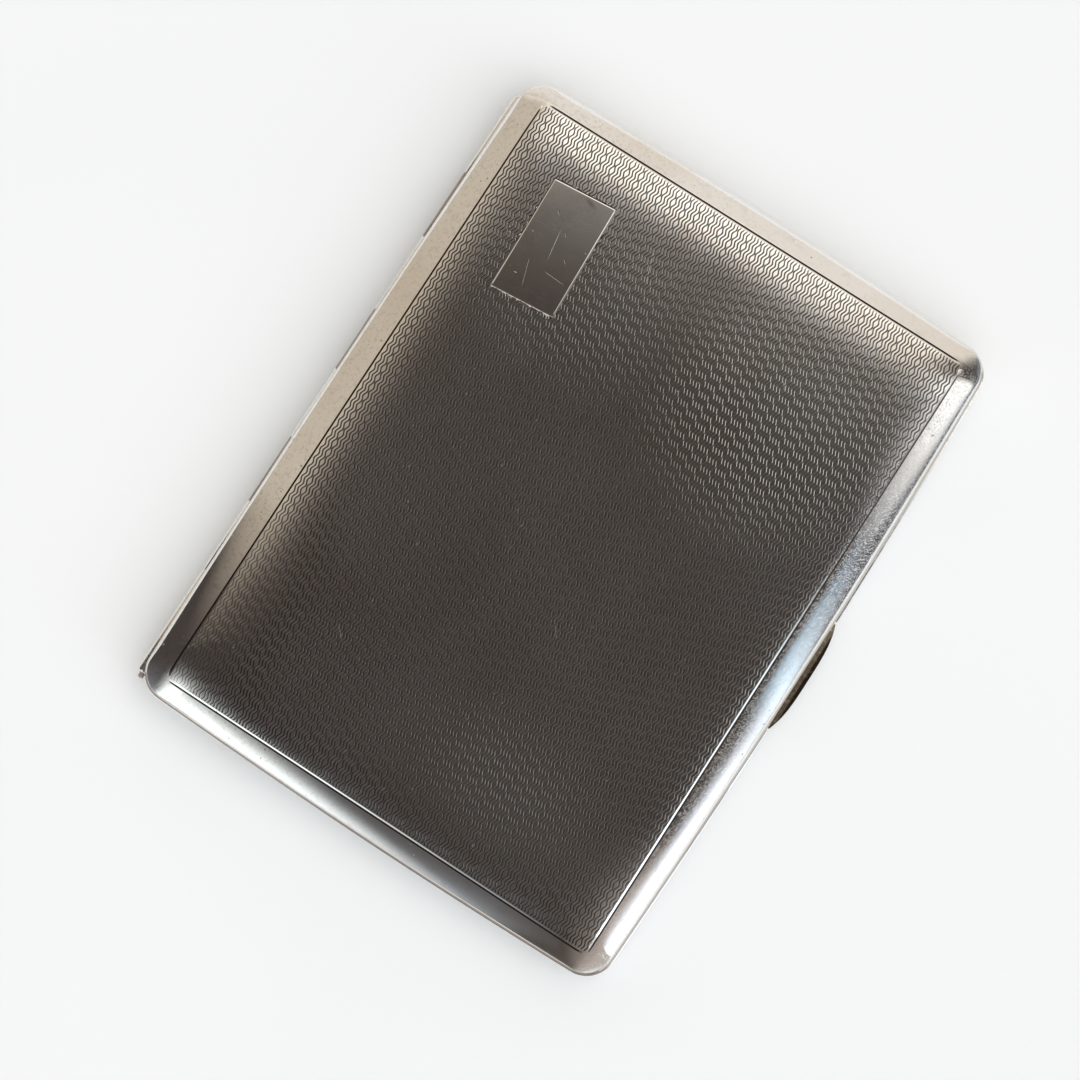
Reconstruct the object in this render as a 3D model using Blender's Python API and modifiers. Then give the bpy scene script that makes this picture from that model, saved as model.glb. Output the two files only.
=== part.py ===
"""Slim pocket cigarette case of pressed silver sheet.

Two shallow dished halves are joined along one long side by an eight-knuckle
hinge.  A bezel inside the lower half locates the lid, a crescent thumbpiece
in the front edge works a sprung catch, and each half has an elastic band
held at its ends by wire keepers.

Frame: metres, +Z up, case closed and lying on its lower half.
X runs across the case (hinge at -X, thumbpiece at +X), Y runs along it.
The origin is the centre of the bounding box's underside.
"""
import math

import bmesh
import bpy
from mathutils import Matrix, Vector

MM = 0.001

# ---------------------------------------------------------------- dimensions
LENGTH = 110.0          # along Y
WIDTH = 82.8            # across X, lid edge to lid edge at mid length
THICK = 9.4             # closed
SHEET = 0.6             # silver sheet
SEAM = THICK / 2.0      # height of the joint between the halves
SEAM_GAP = 0.3          # clear gap between the two rims
RIM_LAND = 0.15         # upright part of each rim
ROLL = 14.0             # distance over which the edge rolls over into the face
ROLL_POWER = 3.46       # how fast it does
CORNER_R = 4.6          # plan radius of the corners
BOW_FRONT = 1.0         # how far the front side bows out
BOW_HINGE = 0.45        # the hinge side
BOW_END = 0.7           # the two short sides

TUBE_R = 1.0            # hinge knuckle, outside
BORE_R = 0.65           # hinge knuckle, inside
PIN_R = 0.5             # hinge pin
PROUD = 0.2             # hinge tube past the lid's edge at mid length
KNUCKLE_GAP = 0.2       # between neighbouring knuckles
KNUCKLE_ENDS = (50.2, 36.3, 24.8, 11.7, 1.0, -11.1, -22.5, -34.7, -52.4)
PIN_ENDS = (51.2, -53.4)  # ends of the pin, both domed
RELIEF = 2.1            # height of rim cut away beside the hinge, each half
BEARER_RI = 1.27        # trough behind the knuckles
BEARER_RO = 1.77
BEARER_HALF = 49.5      # its half length

BEZEL_OUT = 1.25        # inset of the bezel's outer face from the case's edge
BEZEL_IN = 1.70
BEZEL_LOW = 3.3
BEZEL_TOP = 5.6
BEZEL_HINGE_END = -37.6  # where the bezel stops beside the hinge

THUMB_HALF = 9.1        # half length of the thumbpiece
THUMB_PROUD = 1.0       # how far its crescent stands out
THUMB_FULL = 3.5        # how square-shouldered the crescent is
THUMB_DEEP = 1.75       # how far it reaches in from the case's edge
THUMB_Z = (3.5, 4.3)
TRAVEL = 0.6            # thumbpiece travel, inwards

BAND_HALF = 5.0         # elastic, half width
BAND_T = 0.7            # elastic, thickness
BAND_Z = 2.95           # height of the elastic in each half, from its own face
BAR_Y = 50.0            # keeper bar, from the case's centre
WIRE_R = 0.45           # keeper wire
LOOP_RI = 0.75          # loop of elastic round the bar
LOOP_RO = 1.2

HALF_W = WIDTH / 2.0
HALF_L = LENGTH / 2.0
HINGE_X = -HALF_W - PROUD + TUBE_R
# the bounding box runs from the hinge tube to the tip of the thumbpiece
SHIFT_X = -((HALF_W + THUMB_PROUD) + (HINGE_X - TUBE_R)) / 2.0
PROFILE_H = SEAM - SEAM_GAP / 2.0 - RIM_LAND

# --------------------------------------------------------------------- scene
for old in list(bpy.data.objects):
    bpy.data.objects.remove(old, do_unlink=True)

scene = bpy.context.scene
parts = bpy.data.collections.new("cigarette_case")
cutters = bpy.data.collections.new("cutters")
scene.collection.children.link(parts)
scene.collection.children.link(cutters)


def material(name, colour, metallic, roughness):
    mat = bpy.data.materials.new(name)
    mat.use_nodes = True
    bsdf = mat.node_tree.nodes["Principled BSDF"]
    bsdf.inputs["Base Color"].default_value = (*colour, 1.0)
    bsdf.inputs["Metallic"].default_value = metallic
    bsdf.inputs["Roughness"].default_value = roughness
    return mat


SILVER = material("silver", (0.66, 0.64, 0.60), 1.0, 0.26)
SILVER_WORN = material("silver_worn", (0.52, 0.49, 0.44), 1.0, 0.38)
GILT = material("gilt", (0.83, 0.62, 0.30), 1.0, 0.30)
STEEL = material("spring_steel", (0.42, 0.42, 0.43), 1.0, 0.35)
WEBBING = material("elastic", (0.78, 0.70, 0.52), 0.0, 0.85)


def pivot(name, x, y, z):
    """An empty on a joint's axis; x is from the case's own centre line."""
    obj = bpy.data.objects.new(name, None)
    obj.empty_display_size = 5 * MM
    obj.location = ((x + SHIFT_X) * MM, y * MM, z * MM)
    parts.objects.link(obj)
    return obj


CASE = pivot("case_frame", 0.0, 0.0, 0.0)
LID_PIVOT = pivot("lid_pivot", HINGE_X, 0.0, SEAM)
THUMB_GUIDE = pivot("thumb_guide", HALF_W, 0.0, sum(THUMB_Z) / 2.0)


def place(obj, mat, parent):
    """Hang a piece, modelled about the case's centre, on its empty."""
    obj.data.materials.clear()
    obj.data.materials.append(mat)
    for coll in list(obj.users_collection):
        coll.objects.unlink(obj)
    parts.objects.link(obj)
    obj.parent = parent
    obj.location = Vector((SHIFT_X * MM, 0.0, 0.0)) - parent.location
    return obj


def smooth(obj, angle=35.0):
    obj.data.shade_smooth()
    obj.data.set_sharp_from_angle(angle=math.radians(angle))


def from_bmesh(name, bm):
    """A mesh object from a bmesh whose points are in millimetres."""
    bmesh.ops.scale(bm, vec=(MM, MM, MM), verts=bm.verts)
    bmesh.ops.recalc_face_normals(bm, faces=bm.faces)
    mesh = bpy.data.meshes.new(name)
    bm.to_mesh(mesh)
    bm.free()
    obj = bpy.data.objects.new(name, mesh)
    scene.collection.objects.link(obj)
    return obj


def as_mesh(curve_obj, name):
    """A welded mesh object made from a curve object."""
    bpy.context.view_layer.update()
    deps = bpy.context.evaluated_depsgraph_get()
    mesh = bpy.data.meshes.new_from_object(curve_obj.evaluated_get(deps))
    bm = bmesh.new()
    bm.from_mesh(mesh)
    bmesh.ops.remove_doubles(bm, verts=bm.verts, dist=1e-7)
    bmesh.ops.recalc_face_normals(bm, faces=bm.faces)
    bm.to_mesh(mesh)
    bm.free()
    obj = bpy.data.objects.new(name, mesh)
    scene.collection.objects.link(obj)
    obj.matrix_world = curve_obj.matrix_world.copy()
    bpy.data.objects.remove(curve_obj, do_unlink=True)
    mesh.name = name
    return obj


def cutter(obj):
    for coll in list(obj.users_collection):
        coll.objects.unlink(obj)
    cutters.objects.link(obj)
    obj.hide_render = True
    obj.display_type = "WIRE"
    return obj


def box(name, x, y, z):
    """A box from three (low, high) pairs in millimetres."""
    bm = bmesh.new()
    bmesh.ops.create_cube(bm, size=1.0)
    size = [b - a for a, b in (x, y, z)]
    mid = [(a + b) / 2.0 for a, b in (x, y, z)]
    bmesh.ops.scale(bm, vec=size, verts=bm.verts)
    bmesh.ops.translate(bm, vec=mid, verts=bm.verts)
    return from_bmesh(name, bm)


def rod(name, radius, length, centre, axis, segments=16):
    """A plain cylinder in millimetres with its axis along X, Y or Z."""
    bm = bmesh.new()
    bmesh.ops.create_cone(bm, cap_ends=True, segments=segments,
                          radius1=radius, radius2=radius, depth=length)
    turn = {"X": Matrix.Rotation(math.pi / 2, 4, "Y"),
            "Y": Matrix.Rotation(math.pi / 2, 4, "X"),
            "Z": Matrix.Identity(4)}[axis]
    bmesh.ops.transform(bm, matrix=turn, verts=bm.verts)
    bmesh.ops.translate(bm, vec=centre, verts=bm.verts)
    return from_bmesh(name, bm)


def cut(obj, tool, name):
    """Cut one object with another; the tool is laid out like the piece."""
    tool.parent = obj.parent
    tool.location = obj.location
    mod = obj.modifiers.new(name, "BOOLEAN")
    mod.operation = "DIFFERENCE"
    mod.solver = "EXACT"
    mod.object = tool
    cutter(tool)


# ------------------------------------------------------------- plan outline
def fade(inset):
    """The sides straighten towards the middle of the face."""
    return 1.0 - 0.7 * min(inset / 5.0, 1.0)


def side_sizes(inset):
    k = fade(inset)
    return {"front": (HALF_W - inset, BOW_FRONT * k),
            "hinge": (HALF_W - inset, BOW_HINGE * k),
            "end": (HALF_L - inset, BOW_END * k)}


def corner(side_x, bow_x, side_y, bow_y, radius):
    """Centre and tangent points of the arc joining two bowed sides."""
    span_y = side_y - bow_y
    span_x = side_x - bow_x
    y_t, x_s = span_y - radius, span_x - radius
    for _ in range(40):
        alpha = math.atan(2.0 * bow_x * y_t / span_y ** 2)
        beta = math.atan(2.0 * bow_y * x_s / span_x ** 2)
        cx = side_x - bow_x * (y_t / span_y) ** 2 - radius * math.cos(alpha)
        cy = side_y - bow_y * (x_s / span_x) ** 2 - radius * math.cos(beta)
        y_t = cy + radius * math.sin(alpha)
        x_s = cx + radius * math.sin(beta)
    return cx, cy, alpha, beta, y_t, x_s


def ring(inset, n_long=6, n_end=4, n_corner=6):
    """Points of the case's outline, inset from its edge, anticlockwise
    from the middle of the front side."""
    s = side_sizes(inset)
    radius = max(CORNER_R - inset, 0.35)
    (fx, fb), (hx, hb), (ey, eb) = s["front"], s["hinge"], s["end"]
    quarter = {}
    for key, (sx, bx) in (("front", (fx, fb)), ("hinge", (hx, hb))):
        cx, cy, alpha, beta, y_t, x_s = corner(sx, bx, ey, eb, radius)
        pts = []
        half = n_long // 2
        for i in range(half):
            y = y_t * i / half
            pts.append((sx - bx * (y / (ey - eb)) ** 2, y))
        for i in range(n_corner + 1):
            a = alpha + (math.pi / 2 - alpha - beta) * i / n_corner
            pts.append((cx + radius * math.cos(a), cy + radius * math.sin(a)))
        half = n_end // 2
        for i in range(1, half + 1):
            x = x_s * (1.0 - i / half)
            pts.append((x, ey - eb * (x / (sx - bx)) ** 2))
        quarter[key] = pts
    front, hinge = quarter["front"], quarter["hinge"]
    loop = list(front)
    loop += [(-x, y) for x, y in reversed(hinge[:-1])]
    loop += [(-x, -y) for x, y in hinge[1:]]
    loop += [(x, -y) for x, y in reversed(front[1:-1])]
    return loop


def roll_height(inset):
    """Height of the face above the rim at a distance in from the edge."""
    u = min(max(inset / ROLL, 0.0), 1.0)
    return PROFILE_H * math.sqrt(1.0 - (1.0 - u) ** ROLL_POWER)


def front_edge(y):
    """X of the front edge of the case beside the thumbpiece."""
    return HALF_W - BOW_FRONT * (y / (HALF_L - BOW_END)) ** 2


# -------------------------------------------------------------------- shells
def shell(name, up):
    """One dished half: an open surface, thickened inwards."""
    sign = 1.0 if up else -1.0
    levels = [(0.0, SEAM_GAP / 2.0), (0.0, SEAM_GAP / 2.0 + RIM_LAND)]
    for inset in (0.10, 0.40, 1.0, 2.1, 4.3, 7.6, ROLL):
        levels.append((inset, SEAM_GAP / 2.0 + RIM_LAND + roll_height(inset)))
    bm = bmesh.new()
    rows = []
    for inset, height in levels:
        rows.append([bm.verts.new((x, y, SEAM + sign * height))
                     for x, y in ring(inset)])
    for low, high in zip(rows, rows[1:]):
        count = len(low)
        for i in range(count):
            j = (i + 1) % count
            bm.faces.new((low[i], low[j], high[j], high[i]))
    bm.faces.new(rows[-1])
    if not up:
        bmesh.ops.reverse_faces(bm, faces=bm.faces)
    bmesh.ops.scale(bm, vec=(MM, MM, MM), verts=bm.verts)
    mesh = bpy.data.meshes.new(name)
    bm.to_mesh(mesh)
    bm.free()
    obj = bpy.data.objects.new(name, mesh)
    scene.collection.objects.link(obj)
    mod = obj.modifiers.new("sheet", "SOLIDIFY")
    mod.thickness = SHEET * MM
    mod.offset = -1.0
    mod.use_even_offset = True
    mod.use_quality_normals = True
    return obj


base_shell = place(shell("base_shell", False), SILVER, CASE)
lid_shell = place(shell("lid_shell", True), SILVER, LID_PIVOT)

cut(base_shell, box("cut_base_hinge", (-HALF_W - 2.0, HINGE_X + 1.6),
                    (-HALF_L + 1.0, HALF_L - 1.0), (SEAM - RELIEF, SEAM + 1.0)),
    "hinge_relief")
cut(lid_shell, box("cut_lid_hinge", (-HALF_W - 2.0, HINGE_X + 1.6),
                   (-HALF_L + 1.0, HALF_L - 1.0), (SEAM - 1.0, SEAM + RELIEF)),
    "hinge_relief")
cut(base_shell, box("cut_thumb_slot", (HALF_W - 2.2, HALF_W + 1.0),
                    (-THUMB_HALF - 0.3, THUMB_HALF + 0.3),
                    (THUMB_Z[0] - 0.3, SEAM + 1.0)), "thumb_slot")
for piece in (base_shell, lid_shell):
    smooth(piece, 40.0)


# --------------------------------------------------------------------- bezel
def bezel(name, side):
    """Strip standing inside one end and half of the front of the base."""
    def run(inset):
        pts = ring(inset, n_long=6, n_end=4, n_corner=6)
        start = THUMB_HALF + 1.2
        path = [(front_edge(start) - inset, start)]
        for x, y in pts:
            if y > start and x > BEZEL_HINGE_END:
                path.append((x, y))
        # end the strip square, beside the hinge
        last = path[-1]
        path.append((BEZEL_HINGE_END, last[1]))
        return path
    outer, inner = run(BEZEL_OUT), run(BEZEL_IN)
    loop = outer + inner[::-1]
    curve = bpy.data.curves.new(name, "CURVE")
    curve.dimensions = "2D"
    curve.fill_mode = "BOTH"
    curve.extrude = (BEZEL_TOP - BEZEL_LOW) / 2.0 * MM
    spline = curve.splines.new("POLY")
    spline.points.add(len(loop) - 1)
    for point, (x, y) in zip(spline.points, loop):
        point.co = (x * MM, side * y * MM, 0.0, 1.0)
    spline.use_cyclic_u = True
    obj = bpy.data.objects.new(name + "_outline", curve)
    scene.collection.objects.link(obj)
    solid = as_mesh(obj, name)
    mid = (BEZEL_TOP + BEZEL_LOW) / 2.0 * MM
    for vert in solid.data.vertices:
        vert.co.z += mid
    return solid


place(bezel("base_bezel_1", 1.0), SILVER_WORN, CASE)
place(bezel("base_bezel_2", -1.0), SILVER_WORN, CASE)


# --------------------------------------------------------------------- hinge
def knuckle(name, y_high, y_low, mat, parent):
    """A short tube turned about the hinge's axis."""
    top = y_high - KNUCKLE_GAP / 2.0
    low = y_low + KNUCKLE_GAP / 2.0
    bm = bmesh.new()
    verts = [bm.verts.new(p) for p in ((TUBE_R, 0.0, top), (TUBE_R, 0.0, low),
                                       (BORE_R, 0.0, low), (BORE_R, 0.0, top))]
    for a, b in zip(verts, verts[1:] + verts[:1]):
        bm.edges.new((a, b))
    bmesh.ops.scale(bm, vec=(MM, MM, MM), verts=bm.verts)
    mesh = bpy.data.meshes.new(name)
    bm.to_mesh(mesh)
    bm.free()
    obj = bpy.data.objects.new(name, mesh)
    scene.collection.objects.link(obj)
    mod = obj.modifiers.new("turn", "SCREW")
    mod.axis = "Z"
    mod.angle = 2.0 * math.pi
    mod.steps = 20
    mod.render_steps = 20
    mod.use_merge_vertices = True
    mod.merge_threshold = 0.00001
    place(obj, mat, parent)
    # the turned axis lies along Y, on the hinge
    obj.rotation_euler = (-math.pi / 2.0, 0.0, 0.0)
    obj.location = Vector(((HINGE_X + SHIFT_X) * MM, 0.0, SEAM * MM)) - parent.location
    smooth(obj)
    return obj


spans = list(zip(KNUCKLE_ENDS, KNUCKLE_ENDS[1:]))
for index, (high, low) in enumerate(spans):
    number = index // 2 + 1
    if index % 2:
        knuckle("base_knuckle_%d" % number, high, low, SILVER, CASE)
    else:
        knuckle("lid_knuckle_%d" % number, high, low, SILVER, LID_PIVOT)


def hinge_pin():
    """A plain wire with domed ends, turned about the hinge's axis."""
    dome = [(0.0, 0.0), (0.28, 0.08), (0.44, 0.28), (PIN_R, 0.5)]
    profile = [(r, PIN_ENDS[0] - z) for r, z in dome]
    profile += [(r, PIN_ENDS[1] + z) for r, z in reversed(dome)]
    mesh = bpy.data.meshes.new("hinge_pin")
    bm = bmesh.new()
    verts = [bm.verts.new((r * MM, 0.0, z * MM)) for r, z in profile]
    for a, b in zip(verts, verts[1:]):
        bm.edges.new((a, b))
    bm.to_mesh(mesh)
    bm.free()
    obj = bpy.data.objects.new("hinge_pin", mesh)
    scene.collection.objects.link(obj)
    mod = obj.modifiers.new("turn", "SCREW")
    mod.axis = "Z"
    mod.angle = 2.0 * math.pi
    mod.steps = 16
    mod.render_steps = 16
    mod.use_merge_vertices = True
    mod.merge_threshold = 0.00001
    place(obj, STEEL, CASE)
    obj.rotation_euler = (-math.pi / 2.0, 0.0, 0.0)
    obj.location = Vector(((HINGE_X + SHIFT_X) * MM, 0.0, SEAM * MM))
    obj.location -= CASE.location
    smooth(obj)
    return obj


hinge_pin()


def bearer(name, up, parent):
    """Curved strip behind the knuckles that carries them on one half."""
    sign = 1.0 if up else -1.0
    first, last, steps = math.radians(24.0), math.radians(86.0), 6
    arc = [first + (last - first) * i / steps for i in range(steps + 1)]
    loop = [(HINGE_X + BEARER_RO * math.cos(a), SEAM + sign * BEARER_RO * math.sin(a))
            for a in arc]
    loop += [(HINGE_X + BEARER_RI * math.cos(a), SEAM + sign * BEARER_RI * math.sin(a))
             for a in reversed(arc)]
    curve = bpy.data.curves.new(name, "CURVE")
    curve.dimensions = "2D"
    curve.fill_mode = "BOTH"
    curve.extrude = BEARER_HALF * MM
    spline = curve.splines.new("POLY")
    spline.points.add(len(loop) - 1)
    for point, (x, z) in zip(spline.points, loop):
        point.co = (x * MM, z * MM, 0.0, 1.0)
    spline.use_cyclic_u = True
    obj = bpy.data.objects.new(name + "_outline", curve)
    obj.rotation_euler = (math.pi / 2.0, 0.0, 0.0)
    scene.collection.objects.link(obj)
    solid = as_mesh(obj, name)
    solid.data.transform(solid.matrix_world)
    solid.matrix_world = Matrix.Identity(4)
    place(solid, SILVER_WORN, parent)
    smooth(solid)
    return solid


bearer("base_bearer", False, CASE)
bearer("lid_bearer", True, LID_PIVOT)


# --------------------------------------------------------------------- catch
def flat_solid(name, loop, z_low, z_high):
    """A flat outline in X and Y, given thickness along Z."""
    curve = bpy.data.curves.new(name, "CURVE")
    curve.dimensions = "2D"
    curve.fill_mode = "BOTH"
    curve.extrude = (z_high - z_low) / 2.0 * MM
    spline = curve.splines.new("POLY")
    spline.points.add(len(loop) - 1)
    for point, (x, y) in zip(spline.points, loop):
        point.co = (x * MM, y * MM, 0.0, 1.0)
    spline.use_cyclic_u = True
    obj = bpy.data.objects.new(name + "_outline", curve)
    scene.collection.objects.link(obj)
    solid = as_mesh(obj, name)
    for vert in solid.data.vertices:
        vert.co.z += (z_low + z_high) / 2.0 * MM
    return solid


def thumbpiece():
    steps = 16
    loop = []
    for i in range(steps + 1):
        y = -THUMB_HALF + 2.0 * THUMB_HALF * i / steps
        loop.append((front_edge(y) + THUMB_PROUD * (1.0 - abs(y / THUMB_HALF) ** THUMB_FULL), y))
    loop += [(HALF_W - THUMB_DEEP, THUMB_HALF), (HALF_W - THUMB_DEEP, -THUMB_HALF)]
    return flat_solid("thumbpiece", loop, *THUMB_Z)


place(thumbpiece(), SILVER_WORN, THUMB_GUIDE)

TAB = (HALF_W - 2.55, HALF_W - 2.05)     # upright of the catch
NOSE = HALF_W - 1.6                      # tip of its nose
STRIKER = (HALF_W - 1.5, HALF_W - 1.0)   # ledge inside the lid


def catch_hook():
    """An upright with a nose at its top, bevelled where the lid meets it."""
    profile = [(TAB[0], THUMB_Z[0]), (TAB[1], THUMB_Z[0]), (TAB[1], 5.75),
               (NOSE, 5.75), (NOSE, 5.9), (TAB[1], 6.25), (TAB[0], 6.25)]
    curve = bpy.data.curves.new("catch_hook", "CURVE")
    curve.dimensions = "2D"
    curve.fill_mode = "BOTH"
    curve.extrude = 4.0 * MM
    spline = curve.splines.new("POLY")
    spline.points.add(len(profile) - 1)
    for point, (x, z) in zip(spline.points, profile):
        point.co = (x * MM, z * MM, 0.0, 1.0)
    spline.use_cyclic_u = True
    obj = bpy.data.objects.new("catch_hook_outline", curve)
    obj.rotation_euler = (math.pi / 2.0, 0.0, 0.0)
    scene.collection.objects.link(obj)
    solid = as_mesh(obj, "catch_hook")
    solid.data.transform(solid.matrix_world)
    solid.matrix_world = Matrix.Identity(4)
    return solid


place(catch_hook(), SILVER_WORN, THUMB_GUIDE)
place(box("lid_striker", STRIKER, (-5.0, 5.0), (4.95, 5.55)), SILVER_WORN, LID_PIVOT)

LEAF = (HALF_W - 3.15, HALF_W - 2.85)
BLOCK = (HALF_W - 2.55, HALF_W - 2.0)
RIVET_Y = (-24.4, -21.1)
RIVET_Z = 4.4

leaf = place(box("catch_spring", LEAF, (-26.0, 4.4), (3.5, 5.3)), STEEL, CASE)
block = place(box("spring_block", BLOCK, (-26.0, -19.5), (3.5, 5.2)), SILVER_WORN, CASE)
for number, y in enumerate(RIVET_Y, 1):
    cut(leaf, rod("cut_leaf_hole_%d" % number, 0.62, 2.0,
                  (sum(LEAF) / 2.0, y, RIVET_Z), "X"), "hole_%d" % number)
    cut(block, rod("cut_block_hole_%d" % number, 0.62, 2.0,
                   (sum(BLOCK) / 2.0, y, RIVET_Z), "X"), "hole_%d" % number)


def rivet(name, y):
    """Headed pin through the leaf and its block, turned about its length."""
    length = 1.45
    profile = [(0.0, 0.34), (0.4, 0.30), (0.7, 0.16), (0.8, 0.0),
               (0.33, 0.0), (0.33, -length), (0.0, -length)]
    bm = bmesh.new()
    verts = [bm.verts.new((r * MM, 0.0, z * MM)) for r, z in profile]
    for a, b in zip(verts, verts[1:]):
        bm.edges.new((a, b))
    mesh = bpy.data.meshes.new(name)
    bm.to_mesh(mesh)
    bm.free()
    obj = bpy.data.objects.new(name, mesh)
    scene.collection.objects.link(obj)
    mod = obj.modifiers.new("turn", "SCREW")
    mod.axis = "Z"
    mod.angle = 2.0 * math.pi
    mod.steps = 14
    mod.render_steps = 14
    mod.use_merge_vertices = True
    mod.merge_threshold = 0.00001
    place(obj, SILVER_WORN, CASE)
    # the head looks into the case, towards the hinge
    obj.rotation_euler = (0.0, -math.pi / 2.0, 0.0)
    obj.location = Vector(((LEAF[0] - 0.3 + SHIFT_X) * MM, y * MM, RIVET_Z * MM))
    obj.location -= CASE.location
    smooth(obj)
    return obj


for number, y in enumerate(RIVET_Y, 1):
    rivet("spring_rivet_%d" % number, y)


# ------------------------------------------------------- elastics and keepers
def band_height(up):
    return THICK - BAND_Z if up else BAND_Z


def keeper(name, side, up, parent):
    """A staple of wire standing on the floor of one half."""
    z_bar = band_height(up)
    sign = -1.0 if up else 1.0
    foot = z_bar - sign * 1.5
    half = BAND_HALF + 0.85
    bend = 0.5
    pts = [(-half, foot), (-half, z_bar - sign * bend)]
    for i in range(1, 4):
        a = math.pi / 2.0 * i / 4.0
        pts.append((-half + bend * (1.0 - math.cos(a)),
                    z_bar - sign * bend * (1.0 - math.sin(a))))
    pts.append((-half + bend, z_bar))
    pts += [(-x, z) for x, z in reversed(pts)]
    curve = bpy.data.curves.new(name, "CURVE")
    curve.dimensions = "3D"
    curve.bevel_depth = WIRE_R * MM
    curve.bevel_resolution = 2
    curve.use_fill_caps = True
    spline = curve.splines.new("POLY")
    spline.points.add(len(pts) - 1)
    for point, (x, z) in zip(spline.points, pts):
        point.co = (x * MM, side * BAR_Y * MM, z * MM, 1.0)
    obj = bpy.data.objects.new(name + "_line", curve)
    scene.collection.objects.link(obj)
    solid = as_mesh(obj, name)
    place(solid, GILT, parent)
    smooth(solid)
    return solid


def elastic(name, up, parent):
    """Band with a loop at each end, drawn in Y and Z and given its width."""
    z_mid = band_height(up)
    half_t = BAND_T / 2.0
    neck = BAR_Y - 6.5      # where the loop's two sides meet

    def half_outline(radius, at_neck, steps):
        """From the neck out round the bar and back, at the +Y end."""
        reach = BAR_Y - neck
        lean = math.asin((radius - at_neck) / reach)
        pts = [(neck, -at_neck)]
        for i in range(steps + 1):
            a = -(math.pi / 2.0 + lean) + (math.pi + 2.0 * lean) * i / steps
            pts.append((BAR_Y + radius * math.cos(a), radius * math.sin(a)))
        pts.append((neck, at_neck))
        return pts

    outer = half_outline(LOOP_RO, half_t, 12)
    loop = outer + [(-y, -z) for y, z in outer]
    hole = half_outline(LOOP_RI, 0.02, 10)
    curve = bpy.data.curves.new(name, "CURVE")
    curve.dimensions = "2D"
    curve.fill_mode = "BOTH"
    curve.extrude = BAND_HALF * MM
    for pts in (loop, hole, [(-y, z) for y, z in hole]):
        spline = curve.splines.new("POLY")
        spline.points.add(len(pts) - 1)
        for point, (y, z) in zip(spline.points, pts):
            point.co = (y * MM, z * MM, 0.0, 1.0)
        spline.use_cyclic_u = True
    obj = bpy.data.objects.new(name + "_outline", curve)
    # local X, Y, Z become world Y, Z, X
    obj.matrix_world = Matrix(((0, 0, 1, 0), (1, 0, 0, 0),
                               (0, 1, 0, z_mid * MM), (0, 0, 0, 1)))
    scene.collection.objects.link(obj)
    solid = as_mesh(obj, name)
    solid.data.transform(solid.matrix_world)
    solid.matrix_world = Matrix.Identity(4)
    place(solid, WEBBING, parent)
    return solid


for half, up, parent in (("base", False, CASE), ("lid", True, LID_PIVOT)):
    keeper("%s_keeper_1" % half, 1.0, up, parent)
    keeper("%s_keeper_2" % half, -1.0, up, parent)
    elastic("%s_elastic" % half, up, parent)

bpy.context.view_layer.update()
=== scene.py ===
"""Looks of the silver cigarette case: fine metal surfaces, engine turning,
wear, the woven elastics, and the studio it lies in.

Lengths in the helpers are millimetres about the case's own centre line; the
meshes are written in metres in the shared frame."""
import math

import bpy
import numpy as np
from mathutils import Matrix, Vector


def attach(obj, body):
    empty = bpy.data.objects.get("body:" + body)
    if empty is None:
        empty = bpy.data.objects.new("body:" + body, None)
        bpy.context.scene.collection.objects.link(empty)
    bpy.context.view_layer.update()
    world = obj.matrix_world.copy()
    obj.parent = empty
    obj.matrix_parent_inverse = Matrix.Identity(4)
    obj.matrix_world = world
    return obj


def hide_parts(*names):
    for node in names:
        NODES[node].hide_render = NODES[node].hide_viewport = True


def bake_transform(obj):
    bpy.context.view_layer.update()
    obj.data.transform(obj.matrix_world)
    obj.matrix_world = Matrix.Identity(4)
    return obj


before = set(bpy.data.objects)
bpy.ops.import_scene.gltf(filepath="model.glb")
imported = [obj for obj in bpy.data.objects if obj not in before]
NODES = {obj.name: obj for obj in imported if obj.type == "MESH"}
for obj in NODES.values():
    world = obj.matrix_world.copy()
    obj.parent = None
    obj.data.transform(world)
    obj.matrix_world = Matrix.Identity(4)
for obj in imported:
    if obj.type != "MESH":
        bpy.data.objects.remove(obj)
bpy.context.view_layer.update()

MM = 0.001

# ------------------------------------------------- dimensions, as in the part
LENGTH, WIDTH, THICK, SHEET = 110.0, 82.8, 9.4, 0.6
HALF_W, HALF_L, SEAM = WIDTH / 2.0, LENGTH / 2.0, THICK / 2.0
SEAM_GAP, RIM_LAND = 0.3, 0.15
ROLL, ROLL_POWER = 14.0, 3.46
CORNER_R, BOW_FRONT, BOW_HINGE, BOW_END = 4.6, 1.0, 0.45, 0.7
TUBE_R, BORE_R, PIN_R, PROUD = 1.0, 0.65, 0.5, 0.2
KNUCKLE_ENDS = (50.2, 36.3, 24.8, 11.7, 1.0, -11.1, -22.5, -34.7, -52.4)
PIN_ENDS = (51.2, -53.4)
BEARER_HALF = 49.5
HINGE_X = -HALF_W - PROUD + TUBE_R
THUMB_HALF, THUMB_PROUD, THUMB_DEEP, THUMB_Z = 9.1, 1.0, 1.75, (3.5, 4.3)
THUMB_FULL = 3.5
SHIFT_X = -((HALF_W + THUMB_PROUD) + (HINGE_X - TUBE_R)) / 2.0
PROFILE_H = SEAM - SEAM_GAP / 2.0 - RIM_LAND
BAND_HALF, BAND_T, BAND_Z, BAR_Y, WIRE_R = 5.0, 0.7, 2.95, 50.0, 0.45
LOOP_RI, LOOP_RO = 0.75, 1.2

# the engraving
PITCH = 0.51            # between wave lines
LINES = 142
FIELD_X = PITCH * LINES / 2.0
ROW = 0.275             # mesh rows along the waves
WAVE = 6 * ROW          # length of one wave
ROWS = 368
FIELD_Y = ROW * ROWS / 2.0
SWING = 0.15            # sideways swing of a wave line
CUT_DEPTH = 0.046       # depth of a wave line
CUT_HALF = 0.115        # half of its width
LINE_OUT = 0.50         # the border line: its outer lip, from the field
LINE_MID = 0.27         # and its bottom
LINE_DEPTH = 0.120
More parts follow.
